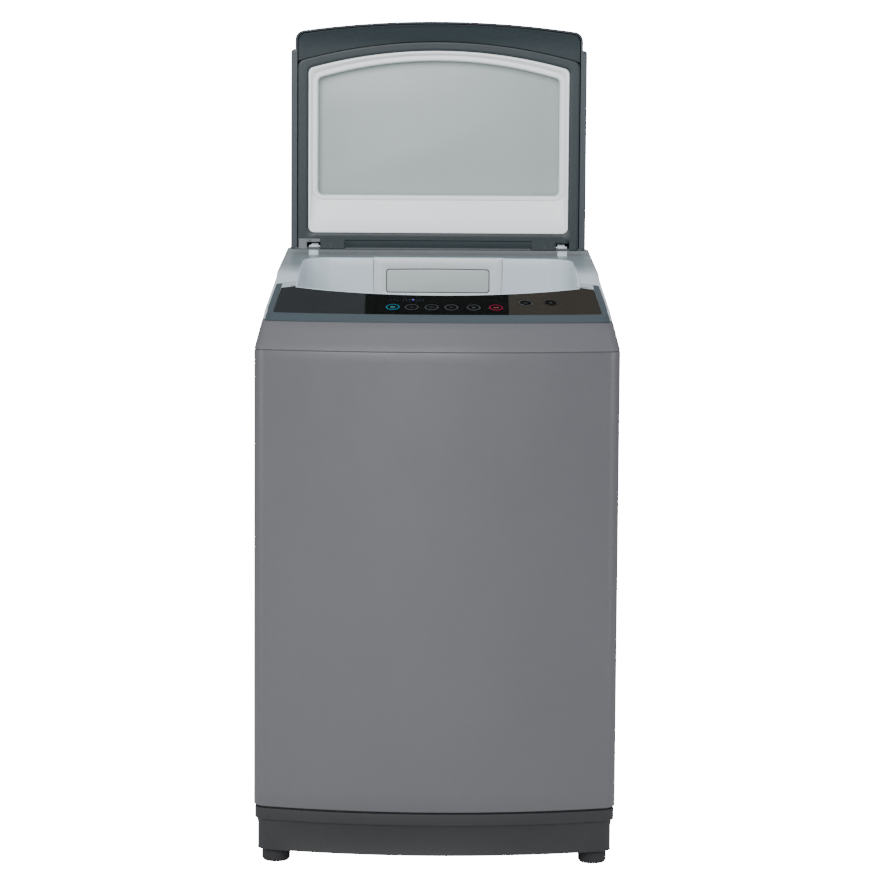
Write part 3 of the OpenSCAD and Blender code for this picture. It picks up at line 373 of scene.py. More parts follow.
def finish(name, colour, rough, metal=0.0, fine=900.0, depth=0.05, drift=0.06, dusty=0.1,
           worn=0.2, smeared=0.05, coat=0.0, gloss=0.5, paint=None):
    """A Principled material: base colour, drifted in tone, worn at edges and dusted on top.
    paint, if given, is a function of the tree and the Object coordinates that returns the
    base colour itself."""
    material = bpy.data.materials.new(name)
    material.use_nodes = True
    tree = material.node_tree
    shader = tree.nodes["Principled BSDF"]
    where = node(tree, "TexCoord").outputs["Object"]
    shape = tree.nodes.new("ShaderNodeNewGeometry")
    base = tint(colour) if isinstance(colour, str) else colour
    texture = node(tree, "Group", node_tree=grain, in_Vector=where, in_Fine=fine)
    ground = paint(tree, where) if paint else base
    darker = node(tree, "HueSaturation", in_Value=1.0 - drift, in_Color=ground).outputs[0]
    lighter = node(tree, "HueSaturation", in_Value=1.0 + drift, in_Color=ground).outputs[0]
    toned = mix(tree, ramp(tree, texture.outputs["Drift"], 0.3, 0.7), darker, lighter)
    edges = node(tree, "Group", node_tree=wear, in_Vector=where,
                 in_Pointiness=shape.outputs["Pointiness"], in_Amount=worn)
    rubbed = node(tree, "HueSaturation", in_Saturation=0.8, in_Value=1.5, in_Color=toned).outputs[0]
    handled = mix(tree, edges.outputs[0], toned, rubbed)
    settled = node(tree, "Group", node_tree=dust, in_Vector=where,
                   in_Normal=shape.outputs["Normal"], in_Amount=dusty)
    tree.links.new(mix(tree, settled.outputs[0], handled, tint("#b3aea6")),
                   shader.inputs["Base Color"])
    smear = node(tree, "Group", node_tree=smears, in_Vector=where, in_Amount=smeared)
    dulled = maths(tree, "ADD", smear.outputs[0], maths(tree, "MULTIPLY", settled.outputs[0], 0.5))
    tree.links.new(maths(tree, "ADD", dulled, rough, True), shader.inputs["Roughness"])
    shader.inputs["Metallic"].default_value = metal
    shader.inputs["Coat Weight"].default_value = coat
    shader.inputs["Specular IOR Level"].default_value = gloss
    bump = node(tree, "Bump", in_Strength=depth, in_Distance=0.0004,
                in_Height=texture.outputs["Height"])
    tree.links.new(bump.outputs[0], shader.inputs["Normal"])
    return material


painted_steel = finish("painted steel", "#5b5b5f", 0.38, metal=0.2, fine=1400, depth=0.12,
                       drift=0.015, dusty=0.0, worn=0.15, smeared=0.06, coat=0.05, gloss=0.4)
fascia_grey = finish("fascia grey", "#5d5e62", 0.42, metal=0.05, fine=1600, depth=0.15,
                     drift=0.015, dusty=0.01, worn=0.1, gloss=0.3)
base_plastic = finish("base plastic", "#2b2c2e", 0.5, fine=1800, depth=0.35, drift=0.04, dusty=0.03,
                      worn=0.1, gloss=0.3)


# Painted reflection: the flat deck is painted darker towards the back, standing in for the dark lid mirrored
# in it.
def painted_deck_reflection(tree, where):
    """The cover's blue-white, with a painted reflection of the dark lid that darkens its flat deck towards
    the back, outside the well.
    """
    shape = tree.nodes.new("ShaderNodeNewGeometry")
    flat = ramp(tree, node(tree, "SeparateXYZ", in_0=shape.outputs["Normal"]).outputs[2], 0.75, 0.95)
    place = node(tree, "SeparateXYZ", in_0=where)
    high = ramp(tree, place.outputs[2], 0.885, 0.895)
    back = maths(tree, "MULTIPLY", ramp(tree, place.outputs[1], -0.1, 0.06), high)
    return mix(tree, maths(tree, "MULTIPLY", flat, back), tint("#c3d0d8"), tint("#7f8e95"))


# The cover's own blue-white, with the painted reflection of the lid on its deck.
cover_white = finish("cover plastic", "#c3d0d8", 0.32, fine=1500, depth=0.1, drift=0.015,
                     dusty=0.0, worn=0.1, paint=painted_deck_reflection)
trim_blue = finish("trim plastic", "#3b474d", 0.36, fine=1500, depth=0.1, drift=0.02, dusty=0.0,
                   worn=0.1, smeared=0.02, gloss=0.25)
lid_dark = finish("lid plastic", "#212c30", 0.4, fine=1500, depth=0.15, drift=0.02, dusty=0.0,
                  worn=0.1, gloss=0.35)
lid_edge = finish("lid rim plastic", "#31393f", 0.38, fine=1500, depth=0.15, drift=0.02, dusty=0.0,
                  worn=0.1, gloss=0.4)
frame_white = finish("lid frame plastic", "#f0f3f4", 0.34, fine=1500, depth=0.1, drift=0.01,
                     dusty=0.02, worn=0.05)
panel_green = finish("drawer panel plastic", "#b0bab8", 0.42, fine=1500, depth=0.1, drift=0.01,
                     dusty=0.02, worn=0.05)
drawer_grey = finish("drawer plastic", "#ccd3d6", 0.36, fine=1500, depth=0.1, drift=0.015, dusty=0.02)
damper_grey = finish("damper cover plastic", "#63686c", 0.42, fine=1600, depth=0.2, drift=0.02)
tub_white = finish("tub plastic", "#d8dcdd", 0.48, fine=1200, depth=0.2, drift=0.04, dusty=0.2)
ring_white = finish("balance ring plastic", "#e2e6e8", 0.35, fine=1500, depth=0.1, drift=0.02)
pulsator_blue = finish("pulsator plastic", "#c3cdd4", 0.36, fine=1500, depth=0.1, drift=0.02)
filter_blue = finish("lint filter mesh", "#a9bccd", 0.5, fine=700, depth=0.5, drift=0.05)
bare_steel = finish("bare steel", "#b4b7ba", 0.32, metal=0.9, fine=900, depth=0.1, drift=0.05)
cast_metal = finish("cast aluminium", "#9fa2a5", 0.5, metal=0.8, fine=500, depth=0.35, drift=0.08)
motor_black = finish("motor enamel", "#34373a", 0.45, metal=0.3, fine=700, depth=0.25, drift=0.06)
rubber = finish("black rubber", "#1d1d1f", 0.65, fine=1100, depth=0.4, drift=0.1, dusty=0.25, worn=0.4)
# Dark plastic for real dark parts, and also painted shade where it fills grooves and slots.
dark_plastic_and_painted_shade = finish("dark plastic", "#26282a", 0.45, fine=1500, depth=0.2, drift=0.05)
board_green = finish("circuit board", "#1d5a34", 0.4, fine=500, depth=0.3, drift=0.25, dusty=0.1)
print(len(bpy.data.materials), "materials")

# %% [markdown]
# ## The steel cabinet
# One long sheet of painted steel is bent into the front and both sides. Its lower edge and its
# two rear edges are folded inwards, which hides the raw edge and makes the shell stiff. A
# profile (the folded sheet, cut through) is carried along the open outline, so the fold, the
# wall and the rolled top edge come out as one skin.

# %% The cabinet shell


def shell_path():
    """The cabinet's outline from the left rear fold, round the front, to the right rear fold,
    with the inward direction at each point. The outline is the plan without its back."""
    ring = plan(0)
    first = np.argmax((ring[:, 1] < rear_y - 3) & (ring[:, 0] > 0))
    path = np.roll(ring, -first, axis=0)
    path = path[: np.argmax((path[:, 1] > rear_y - 3) & (path[:, 0] < 0))]
    path = np.vstack([[half_w - 18, rear_y], [half_w - 1.2, rear_y], [half_w, rear_y - 1.2], path,
                      [-half_w, rear_y - 1.2], [-half_w + 1.2, rear_y], [-half_w + 18, rear_y]])
    ahead = np.roll(path, -1, axis=0) - path
    ahead[-1] = ahead[-2]
    behind = np.roll(ahead, 1, axis=0)
    behind[0] = ahead[0]
    across = [np.stack([d[:, 1], -d[:, 0]], 1) / np.linalg.norm(d, axis=1, keepdims=True)
              for d in (ahead, behind)]
    middle = across[0] + across[1]
    middle /= (middle * across[0]).sum(1, keepdims=True)
    return path, middle


path, inward = shell_path()
inward *= np.sign((-path * inward).sum())
fold = [(12.0, 90.0), (1.6, 90.0), (0.5, 90.5), (0.0, 91.6)]
fold += [(0.0, z) for z in np.linspace(120, 780, 12)]
fold += [(0.0, 794.6), (0.25, 795.6), (0.8, 796.0), (1.2, 795.7)]
fold += [(1.2, z) for z in (700.0, 400.0, 120.0, 91.6)] + [(12.0, 91.2)]
sections = [np.column_stack([path + inward * d, np.full(len(path), z)]) for d, z in fold]
sections = np.stack(sections).transpose(1, 0, 2)
piece("cabinet_shell", swept(sections), painted_steel, "cabinet",
      ["cabinet_wrapper"], crease=30)

# %% [markdown]
# ## The base
# The cabinet stands on a moulded base: a proud band that the steel rests above with a dark
# shadow line, a skirt set back below it, and thicker corner posts where the feet screw in.

# %% The base and its corner posts


def base_ring(inset, z, posts=0.0):
    """The plan at an inset and a height. posts pushes the front out near the corners, where
    the posts stand, as a flat-topped bump of the distance from the middle."""
    ring = plan(inset)
    bump = np.clip((np.abs(ring[:, 0]) - 226.0) / 5.0, 0, 1) * (ring[:, 1] < -150)
    groove = np.exp(-((np.abs(ring[:, 0]) - 246.0) / 2.2) ** 2) * (ring[:, 1] < -150)
    ring[:, 1] -= posts * (bump - 0.5 * groove)
    return np.column_stack([ring, np.full(len(ring), z)])


profile = [(9.6, 21.0, 0), (6.2, 21.0, 0), (5.3, 21.6, .6), (5.1, 23.0, 1.4), (5.1, 45.0, 1.4),
           (5.1, 61.0, 1.4), (5.1, 63.5, .5), (5.1, 68.2, 0), (4.6, 69.0, 0), (2.4, 69.0, 0),
           (1.8, 69.7, 0), (1.7, 71.5, 0), (1.7, 85.0, 0), (2.1, 86.6, 0), (3.2, 87.0, 0),
           (6.1, 87.0, 0), (6.1, 90.0, 0), (9.6, 90.0, 0), (9.6, 50.0, 0)]
base_parts = [skin([base_ring(d + p, z, p) for d, z, p in profile], wrap_rows=True)]
foot_places = [(x, y) for y in (-225.0, 257.0) for x in (-245.6, 245.6)]
for x, y in foot_places:
    tower = [(5.1, 34.0), (13.4, 34.0), (14.0, 34.8), (14.0, 79.0), (13.2, 80.0), (5.1, 80.0)]
    out = math.copysign(272.0, x)
    base_parts += [turned(tower, (x, y), 48), box((min(x + math.copysign(12, x), out), y - 3, 42.0),
                                                  (max(x + math.copysign(12, x), out), y + 3, 79.0))]
piece("base_moulding", joined(*base_parts), base_plastic, "cabinet",
      ["base_frame"], crease=28)

# %% [markdown]
# ## The fascia
# Above the seam the case changes to plastic in the same grey. Its front leans back by 20 mm and
# its sides lean in, so each outline is the plan shrunk towards the back edge.

# %% The fascia band


def leaning(inset, z):
    """The plan, with its width scaled to the leaning sides and its depth to the leaning front."""
    up = max(0.0, (z - fascia_z) / (fascia_top - fascia_z))
    ring = plan(inset)
    x = ring[:, 0] * side_at(z) / half_w
    y = rear_y - (rear_y - ring[:, 1]) * (590.0 - 20.0 * up) / 590.0
    return np.column_stack([x, y, np.full(len(ring), z)])


band = [(1.9, 790.0), (1.9, 797.0), (0.9, 797.0), (0.2, 797.4), (0.0, 798.2), (0.0, 808.0),
        (0.0, 818.0), (0.0, 828.0), (0.0, 838.6), (0.3, 839.6), (1.0, 840.0), (3.0, 840.0),
        (3.0, 815.0), (3.4, 790.0)]
piece("fascia", skin([leaning(d, z) for d, z in band], wrap_rows=True), fascia_grey,
      "cabinet", ["front_fascia"], crease=30)

# %% [markdown]
# ## The light top cover
# This is the large moulding that the hand meets first. Going inwards it is a leaning flank, a
# soft shoulder, a sloping deck, a rounded rim, and then the walls and floor of the loading well
# down to the drum's mouth. All of these are rings about one centre, read off at the same
# angles, so the whole moulding is one skin that then gets its wall thickness.

# %% Reading an outline at given angles
centre = np.array([0.0, -20.0])


def angles_of(outline):
    """The direction of each point of an outline as seen from the cover's centre."""
    d = outline - centre
    return np.arctan2(d[:, 1], d[:, 0])


def at_angles(outline, angles):
    """Where rays from the centre at these angles cross the outline: on each ray, the distance
    is cross(a, b - a) / cross(ray, b - a) for the side a-b that the ray passes through."""
    d = outline - centre
    order = np.argsort(angles_of(outline))
    a = d[order]
    known = angles_of(outline)[order]
    i = (np.searchsorted(known, angles, side="right") - 1) % len(a)
    p, q = a[i], a[(i + 1) % len(a)]
    ray = np.stack([np.cos(angles), np.sin(angles)], 1)
    side = q - p
    reach = (p[:, 0] * side[:, 1] - p[:, 1] * side[:, 0]) / (
        ray[:, 0] * side[:, 1] - ray[:, 1] * side[:, 0])
    return centre + ray * reach[:, None]


def well_outline(grow):
    """The loading opening: a front lip on a 470 arc, straight sides and two rear corners."""
    half, back, corner = 218.0 + grow, 140.0 + grow, 46.0 + grow
    r = 470.0 + grow
    turn = math.degrees(math.asin(half / r))
    lip = arc((0, -184.0 + 470.0), r, 270 - turn, 270 + turn, 61)
    right = arc((half - corner, back - corner), corner, 0, 90, 13)
    left = arc((-half + corner, back - corner), corner, 90, 180, 13)
    return np.vstack([lip, straight(lip[-1], right[0], 14), right,
                      straight(right[-1], left[0], 25), left, straight(left[-1], lip[0], 14)])


def cover_outline(inset):
    """The cover's edge at the height of the fascia's top, behind the trim bar."""
    ring = crowned(side_at(fascia_top) - inset, 256.7 - inset, 861.7 - inset, 20.0 - inset,
                   -rear_y + inset, 3.0)
    return ring * [1, -1]


drawer_side = np.array([[106.3, 140.0], [106.2, 140.0], [-106.2, 140.0], [-106.3, 140.0]])
angles = np.unique(np.round(np.concatenate([
    angles_of(cover_outline(0)), angles_of(well_outline(0)), angles_of(drawer_side),
    np.linspace(-np.pi, np.pi, 121)[1:]]), 5))
print(len(angles), "directions round the cover")


# %% The cover's skin


def deck_height(x, y):
    """The lower of the strip's cone and the deck's plane, with the crease between them eased
    over about 4 mm: -k * log(exp(-a/k) + exp(-b/k))."""
    k = 1.2
    a, b = strip_at(x, y) - 1.6, deck_at(y)
    low = np.minimum(a, b)
    return low - k * np.log(np.exp(-(a - low) / k) + np.exp(-(b - low) / k))


def cover_ring(flat, z):
    """A ring on the leaning sides: its width shrinks with height as the flanks lean in."""
    x = flat[:, 0] * side_at(z) / side_at(fascia_top)
    return np.column_stack([x, flat[:, 1], z])


def past_drawer(flat, back):
    """A ring of the well's wall, stepped back behind the drawer's front where that stands."""
    behind = (np.abs(inner[:, 0]) < 106.25) & (inner[:, 1] > 100)
    return np.where(behind[:, None], np.column_stack([inner[:, 0], np.full(len(flat), back)]), flat)


inner = at_angles(well_outline(0.0), angles)
outer = at_angles(cover_outline(0), angles)
shoulder = at_angles(cover_outline(3.6), angles)
edge_z = deck_height(shoulder[:, 0] * 0.946, shoulder[:, 1])
rings = [cover_ring(outer, fascia_top + (edge_z - 3.6 - fascia_top) * t)
         for t in np.linspace(0.01, 1, 7)]
for a in np.radians([18, 36, 54, 72, 90]):
    flat = outer + (shoulder - outer) * (1 - math.cos(a))
    rings.append(cover_ring(flat, edge_z - 3.6 * (1 - math.sin(a))))
rim = past_drawer(at_angles(well_outline(3.0), angles), 148.4)
start = rings[-1][:, :2]
for t in (0.12, 0.3, 0.5, 0.7, 0.88, 0.96):
    flat = start + (rim - start) * t
    rings.append(np.column_stack([flat, deck_height(flat[:, 0], flat[:, 1])]))
lip_z = np.minimum(strip_at(rim[:, 0], rim[:, 1]) + 0.6, deck_at(rim[:, 1]))
lip_inner = past_drawer(inner, 147.5)
for a in np.radians([0, 30, 60, 90]):
    flat = rim + (lip_inner - rim) * math.sin(a)
    rings.append(np.column_stack([flat, lip_z - 3.0 * (1 - math.cos(a))]))
floor_ring = at_angles(well_outline(-26.0), angles)
for t in (0.12, 0.3, 0.45, 0.5595, 0.5605, 0.67, 0.78, 0.89, 1.0):
    flat = inner + (at_angles(well_outline(-6.0), angles) - inner) * t ** 2
    if t < 0.56:
        flat = past_drawer(flat, 147.5)
    rings.append(np.column_stack([flat, (lip_z - 3.0) * (1 - t) + 805.0 * t]))
low_wall = rings[-1][:, :2]
for a in np.radians([30, 60, 90]):
    flat = low_wall + (floor_ring - low_wall) * (1 - math.cos(a))
    rings.append(np.column_stack([flat, np.full(len(flat), 805.0 - 19.5 * math.sin(a))]))
mouth_r = 202.5
ray = np.stack([np.cos(angles), np.sin(angles)], 1)
along = (ray * centre).sum(1)
reach = -along + np.sqrt(along ** 2 - (centre ** 2).sum() + mouth_r ** 2)
mouth = centre + ray * np.minimum(reach, np.linalg.norm(floor_ring - centre, axis=1) - 3)[:, None]
for t, z in ((0.5, 785.4), (0.9, 785.2), (1.0, 784.6), (1.0, 782.5)):
    rings.append(np.column_stack([floor_ring + (mouth - floor_ring) * t, np.full(len(mouth), z)]))
cover_points, cover_faces = skin(rings)


def boss(side):
    """A hinge boss: an arch in Y and Z, 16 mm wide, standing on the deck."""
    arch = np.vstack([[hinge_y + 6, deck_at(hinge_y) - 2], arc((hinge_y, hinge_z), 6, 0, 180, 13),
                      [hinge_y - 6, deck_at(hinge_y) - 2]])
    x = side * 205.5 + np.array([-8.0, -7.4, 7.4, 8.0])
    shrink = [0.6, 0, 0, 0.6]
    middle = np.array([hinge_y, hinge_z - 3])
    return skin([np.column_stack([np.full(len(arch), v), arch + (middle - arch) * 0.1 * s])
                 for v, s in zip(x, shrink)], caps=True)


piece("top_cover_moulding", (cover_points, cover_faces), cover_white, "cabinet",
      ["top_cover"], crease=50, thickness=2.4, closed=False)
piece("hinge_bosses", joined(boss(-1), boss(1)), cover_white, "cabinet", (),
      bevel=0.8)

# %% [markdown]
# ## The trim
# A blue-grey U frames the control film: a bar along its front edge, and an arm up each side that
# ends square. Four edge lines run along the U (front foot, front top, inner top, inner foot) and
# are joined into one bar whose section changes at the corners.

# %% The trim bar and its arms


def trim_line(out, crown_r, corner):
    """A line along the U, from the right arm's end round the front to the left arm's end.
    out is the distance in from the leaning side, crown_r the radius of the front arc."""
    half = side_at(film_z) - out
    ring = crowned(half, crown_r - bulge_y, crown_r, corner, 110.0 - 0.02, 0.01) * [1, -1]
    return ring[6:121]


def on_sides(flat, z):
    """Points whose distance from the middle follows the leaning side at their own height."""
    return np.column_stack([flat[:, 0] * side_at(z) / side_at(film_z), flat[:, 1], z])


foot_out, top_out = trim_line(4.0, 879.4, 16.0), trim_line(4.6, 868.2, 13.0)
top_edge = trim_line(5.8, 867.0, 12.0)
top_in, foot_in = trim_line(13.4, 862.6, 7.0), trim_line(14.0, 862.0, 6.5)
front = np.clip((-foot_out[:, 1] - 196.0) / 34.0, 0, 1)
front = front * front * (3 - 2 * front)
sill = strip_at(top_out[:, 0], top_out[:, 1]) - 1.4
lines = [
    on_sides(foot_out, sill * (1 - front) + 840.25 * front),
    on_sides(foot_out + (top_out - foot_out) * 0.08, (sill + 0.5) * (1 - front) + 841.2 * front),
    on_sides(top_out, strip_at(top_out[:, 0], top_out[:, 1]) + 0.1),
    on_sides(top_edge, strip_at(top_edge[:, 0], top_edge[:, 1]) + 0.75),
    on_sides(top_in, strip_at(top_in[:, 0], top_in[:, 1]) + 0.75),
    on_sides(foot_in, strip_at(foot_in[:, 0], foot_in[:, 1]) + 0.3),
    on_sides(foot_in, strip_at(foot_in[:, 0], foot_in[:, 1]) - 1.4),
]
piece("trim", swept(np.stack(lines).transpose(1, 0, 2)), trim_blue, "cabinet",
      ["trim_frame"], crease=40)

# %% [markdown]
# ## The buttons
# Each button is a dark cap with a raised metal ring. The first ring is lit cyan and the last
# one red; the others are plain. The caps are turned about the strip's own normal, and every
# button rides on its own body, so that it can be pressed.

# %% Placing things on the control strip


def strip_frame(x, ahead):
    """The place on the strip at x, ahead behind its front edge: its centre and three axes."""
    r = film_r - ahead
    t = math.asin(x / r)
    tilt = math.atan(0.375)
    origin = np.array([r * math.sin(t), bulge_y - r * math.cos(t), film_z + ahead * 0.375])
    across = np.array([math.cos(t), math.sin(t), 0.0])
    flat = np.array([-math.sin(t), math.cos(t), 0.0])
    normal = np.array([0, 0, 1.0]) * math.cos(tilt) - flat * math.sin(tilt)
    return origin, across, flat * math.cos(tilt) + np.array([0, 0, 1.0]) * math.sin(tilt), normal


def onto(local, place):
    """Points from the strip's own axes to the machine's."""
    origin, across, back, normal = place
    return origin + local[:, :1] * across + local[:, 1:2] * back + local[:, 2:] * normal


button_x = [-68.5, -39.5, -9.0, 21.0, 55.0, 89.5, 135.0, 174.0]
print("buttons at", button_x)


# %% The finish of a button face


def button_finish(name, ring_colour, lit):
    """A dark glossy cap whose rim is a metal ring, chosen by distance from the UV centre."""
    def zones(tree, where):
        uv = node(tree, "UVMap", uv_map="face").outputs[0]
        spot = node(tree, "VectorMath", operation="DISTANCE", in_0=uv, in_1=(0.5, 0.5, 0.0))
        ring = maths(tree, "MULTIPLY", ramp(tree, spot.outputs[1], 0.425, 0.435),
                     ramp(tree, spot.outputs[1], 0.495, 0.485))
        return mix(tree, ring, tint("#050606"), tint(ring_colour))
    made = finish(name, "#101112", 0.3, fine=2500, depth=0.04, drift=0.02, dusty=0.0,
                  worn=0.0, smeared=0.01, gloss=0.12, paint=zones)
    tree = made.node_tree
    shader = tree.nodes["Principled BSDF"]
    shader.inputs["IOR"].default_value = 1.14
    uv = node(tree, "UVMap", uv_map="face").outputs[0]
    spot = node(tree, "VectorMath", operation="DISTANCE", in_0=uv, in_1=(0.5, 0.5, 0.0))
    ring = maths(tree, "MULTIPLY", ramp(tree, spot.outputs[1], 0.425, 0.435),
                 ramp(tree, spot.outputs[1], 0.495, 0.485))
    if lit:
        tree.links.new(mix(tree, ring, (0, 0, 0, 1), tint(ring_colour)),
                       shader.inputs["Emission Color"])
        shader.inputs["Emission Strength"].default_value = lit
    else:
        tree.links.new(maths(tree, "MULTIPLY", ring, 0.8), shader.inputs["Metallic"])
    return made


plain_ring = button_finish("button grey ring", "#54595c", 0)
cyan_ring = button_finish("button cyan ring", "#16798c", 0.25)
red_ring = button_finish("button red ring", "#8e1336", 0.25)
rose_ring = button_finish("button rose ring", "#3a2528", 0)
glyph_grey = finish("glyph print", "#4d5255", 0.5, fine=2000, depth=0.05, gloss=0.2)
glyph_cyan = finish("cyan glyph print", "#4fb4c6", 0.5, fine=2000, depth=0.05)
glyph_red = finish("red glyph print", "#c03a58", 0.5, fine=2000, depth=0.05)

# %% The eight buttons


def cap(place):
    """A cap with a domed middle, a groove and a raised ring, turned about the strip's normal."""
    r = np.array([0.0, 3.0, 6.0, 8.4, 8.8, 9.0, 9.3, 9.8, 10.2, 10.5, 10.5, 3.0, 3.0, 0.0])
    h = np.array([0.12, 0.1, 0.02, -0.05, 0.05, 0.32, 0.4, 0.4, 0.32, 0.05, -2.6, -2.6, -10., -10.])
    points, faces = turned(np.column_stack([r, h]), steps=64)
    return onto(points, place), faces, points


def face_map(thing, place):
    """A UV map that looks straight down on the cap: 21 mm of the cap spans the unit square."""
    origin, across, back, _ = place
    mesh = thing.data
    corner = np.empty(len(mesh.loops), int)
    mesh.loops.foreach_get("vertex_index", corner)
    co = np.empty(len(mesh.vertices) * 3)
    mesh.vertices.foreach_get("co", co)
    d = co.reshape(-1, 3)[corner] * 1000 - origin
    uv = np.stack([d @ across, d @ back], 1) / 21.0 + 0.5
    mesh.uv_layers.new(name="face").data.foreach_set("uv", uv.astype(np.float32).ravel())


def flat_shape(outline, place, low=0.1, high=0.2):
    """A thin printed shape: an outline in the strip's plane given a hair of thickness."""
    outline = np.asarray(outline, float)
    rings = [np.column_stack([outline, np.full(len(outline), h)]) for h in (low, high)]
    points, faces = skin(rings, caps=True)
    return onto(points, place), faces


def ring_shape(r0, r1, start, end, place, count=24):
    """Part of a thin ring between two radii and two angles."""
    outline = np.vstack([arc((0, 0), r1, start, end, count), arc((0, 0), r0, end, start, count)])
    return flat_shape(outline, place, 0.13, 0.2)


power = lambda p: [ring_shape(2.6, 3.3, 125, 415, p), flat_shape(
    [[-.35, .6], [.35, .6], [.35, 4], [-.35, 4]], p, 0.13, 0.2)]
play = lambda p: [flat_shape([[-3.2, -1.8], [-.2, 0], [-3.2, 1.8]], p, 0.13, 0.2),
                  flat_shape([[1, -1.8], [1.7, -1.8], [1.7, 1.8], [1, 1.8]], p, 0.13, 0.2),
                  flat_shape([[2.4, -1.8], [3.1, -1.8], [3.1, 1.8], [2.4, 1.8]], p, 0.13, 0.2)]
chevron = lambda p: [flat_shape([[-2.4, -.8], [0, 1.1], [2.4, -.8], [2.4, .1], [0, 2.0], [-2.4, .1]],
                                p, 0.13, 0.2)]
bars = lambda p: [flat_shape([[-2.2, h], [2.2, h], [2.2, h + .6], [-2.2, h + .6]], p, 0.13, 0.2)
                  for h in (-1.6, -0.3, 1.0)]
dots = lambda p: [ring_shape(0.01, 0.7, 0, 360, (p[0] + p[1] * x, *p[1:]), 12) for x in (-2, 0, 2)]
glyphs = [power, dots, chevron, chevron, bars, play, dots, bars]
rings_of = [cyan_ring, plain_ring, plain_ring, plain_ring, plain_ring, red_ring, plain_ring, rose_ring]
inks = [glyph_cyan, glyph_grey, glyph_grey, glyph_grey, glyph_grey, glyph_red, glyph_grey, glyph_grey]
for i, x in enumerate(button_x):
    place = strip_frame(x, 48.0 if x > 110 else 32.0)
    points, faces, _ = cap(place)
    button = piece(f"button_cap_{i + 1}", (points, faces), rings_of[i], f"button_{i + 1}",
                   [f"button_{i + 1}"], crease=50)
    face_map(button, place)
    piece(f"button_glyph_{i + 1}", joined(*glyphs[i](place)), inks[i], f"button_{i + 1}", ())

# %% [markdown]
# ## The control film and the display
# The film is a thin printed sheet: charcoal at both ends and pure black in the middle, with a
# clean line between them. Its exact holes come from the CAD model, so only the print is made
# here, from the distance to the middle. Behind it sits a display with two dark windows.

# %% Film print and display windows


def film_print(tree, where):
    """Black within 110 mm of the middle, charcoal outside and a little browner on the right.
    The two short ends behind the lip are printed in the cover's own colour."""
    place = node(tree, "SeparateXYZ", in_0=where)
    x, rear = place.outputs[0], ramp(tree, place.outputs[1], -0.1290, -0.1284)
    zone = maths(tree, "MULTIPLY", ramp(tree, x, -0.1115, -0.1105), ramp(tree, x, 0.1095, 0.1085))
    ends = mix(tree, ramp(tree, x, -0.1, 0.1), tint("#292c2e"), tint("#312e29"))
    return mix(tree, rear, mix(tree, zone, ends, tint("#000000")), tint("#a9b5bb"))


film_black = finish("control film print", "#26292b", 0.3, fine=2600, depth=0.03, drift=0.01,
                    dusty=0.0, worn=0.0, smeared=0.01, gloss=0.15, paint=film_print)
film_black.node_tree.nodes["Principled BSDF"].inputs["IOR"].default_value = 1.14
lens_black = finish("display lens", "#04060c", 0.2, fine=2600, depth=0.02, drift=0.02, dusty=0.0,
                    worn=0.0, smeared=0.0, gloss=0.2)
lens_black.node_tree.nodes["Principled BSDF"].inputs["IOR"].default_value = 1.14
led_blue = finish("lit led", "#5c63ff", 0.3, fine=2000, depth=0.02)
led_blue.node_tree.nodes["Principled BSDF"].inputs["Emission Color"].default_value = tint("#6a6cff")
led_blue.node_tree.nodes["Principled BSDF"].inputs["Emission Strength"].default_value = 3.0
led_dim = finish("unlit segment", "#141a24", 0.5, fine=2000, depth=0.02, dusty=0.0, gloss=0.1)

display_places = [(-67.0, 18.0), (-38.0, 31.0)]
windows, segments = [], []
for x, width in display_places:
    place = strip_frame(x, 58.0)
    w, h = width / 2, 6.5
    corners = crowned(w, h, 400.0, 1.2, -h, 1.2)
    rings = [(0.9, -2.0), (0.0, -2.0), (0.0, -0.35), (0.25, -0.12), (0.9, -0.1)]
    stack = [np.column_stack([corners * [1 - d / w, 1 - d / h], np.full(len(corners), z)])
             for d, z in rings]
    points, faces = skin(stack, caps=True)
    windows.append((onto(points, place), faces))
bar = np.array([[-2.1, 0], [-1.6, .45], [1.6, .45], [2.1, 0], [1.6, -.45], [-1.6, -.45]])
upright_bar = bar[:, ::-1]
for x, offsets in ((-38.0, (-7.6, 0.4, 8.4)),):
    place = strip_frame(x, 58.0)
    for u in offsets:
        for part, du, dv in ((bar, 0, 4.4), (bar, 0, 0), (bar, 0, -4.4), (upright_bar, -2.4, 2.2),
                             (upright_bar, 2.4, 2.2), (upright_bar, -2.4, -2.2),
                             (upright_bar, 2.4, -2.2)):
            outline = part * [0.95, 0.95] + [u + dv * 0.08 + du, dv]
            segments.append(flat_shape(outline, place, -0.11, -0.04))
piece("display_windows", joined(*windows), lens_black, "cabinet", ["display_window"])
piece("display_segments", joined(*segments), led_dim, "cabinet", ())
lamp_place = strip_frame(-38.0, 58.0)
lamp = ring_shape(0.01, 0.9, 0, 360, (lamp_place[0] + lamp_place[1] * 0.4, *lamp_place[1:]), 16)
# The slots beside the tabs are painted shade: thin dark marks where the gaps are.
tabs, slot_shade_marks = [], []
for x, tab in ((-233.0, True), (-225.0, False), (229.0, False), (221.0, False)):
    place = strip_frame(x, 101.0)
    outline = [[-3, -0.9], [3, -0.9], [3, 0.9], [-3, 0.9]] if tab else [
        [-4.4, -0.8], [4.4, -0.8], [4.4, 0.8], [-4.4, 0.8]]
    (tabs if tab else slot_shade_marks).append(flat_shape(outline, place, 0.02, 0.25))
piece("film_end_tab", joined(*tabs), drawer_grey, "cabinet", ())
piece("film_end_slot_shade", joined(*slot_shade_marks), dark_plastic_and_painted_shade, "cabinet", ())
piece("display_led", lamp, led_blue, "cabinet", ())

# %% [markdown]
# ## The detergent drawer
# Its front is flush with the well's rear wall: a pale frame with a grey-green panel sunk into
# it. The thin dark line round the panel is a real groove between the two mouldings, and its
# shade is painted on a dark strip laid in it.

# %% The drawer front


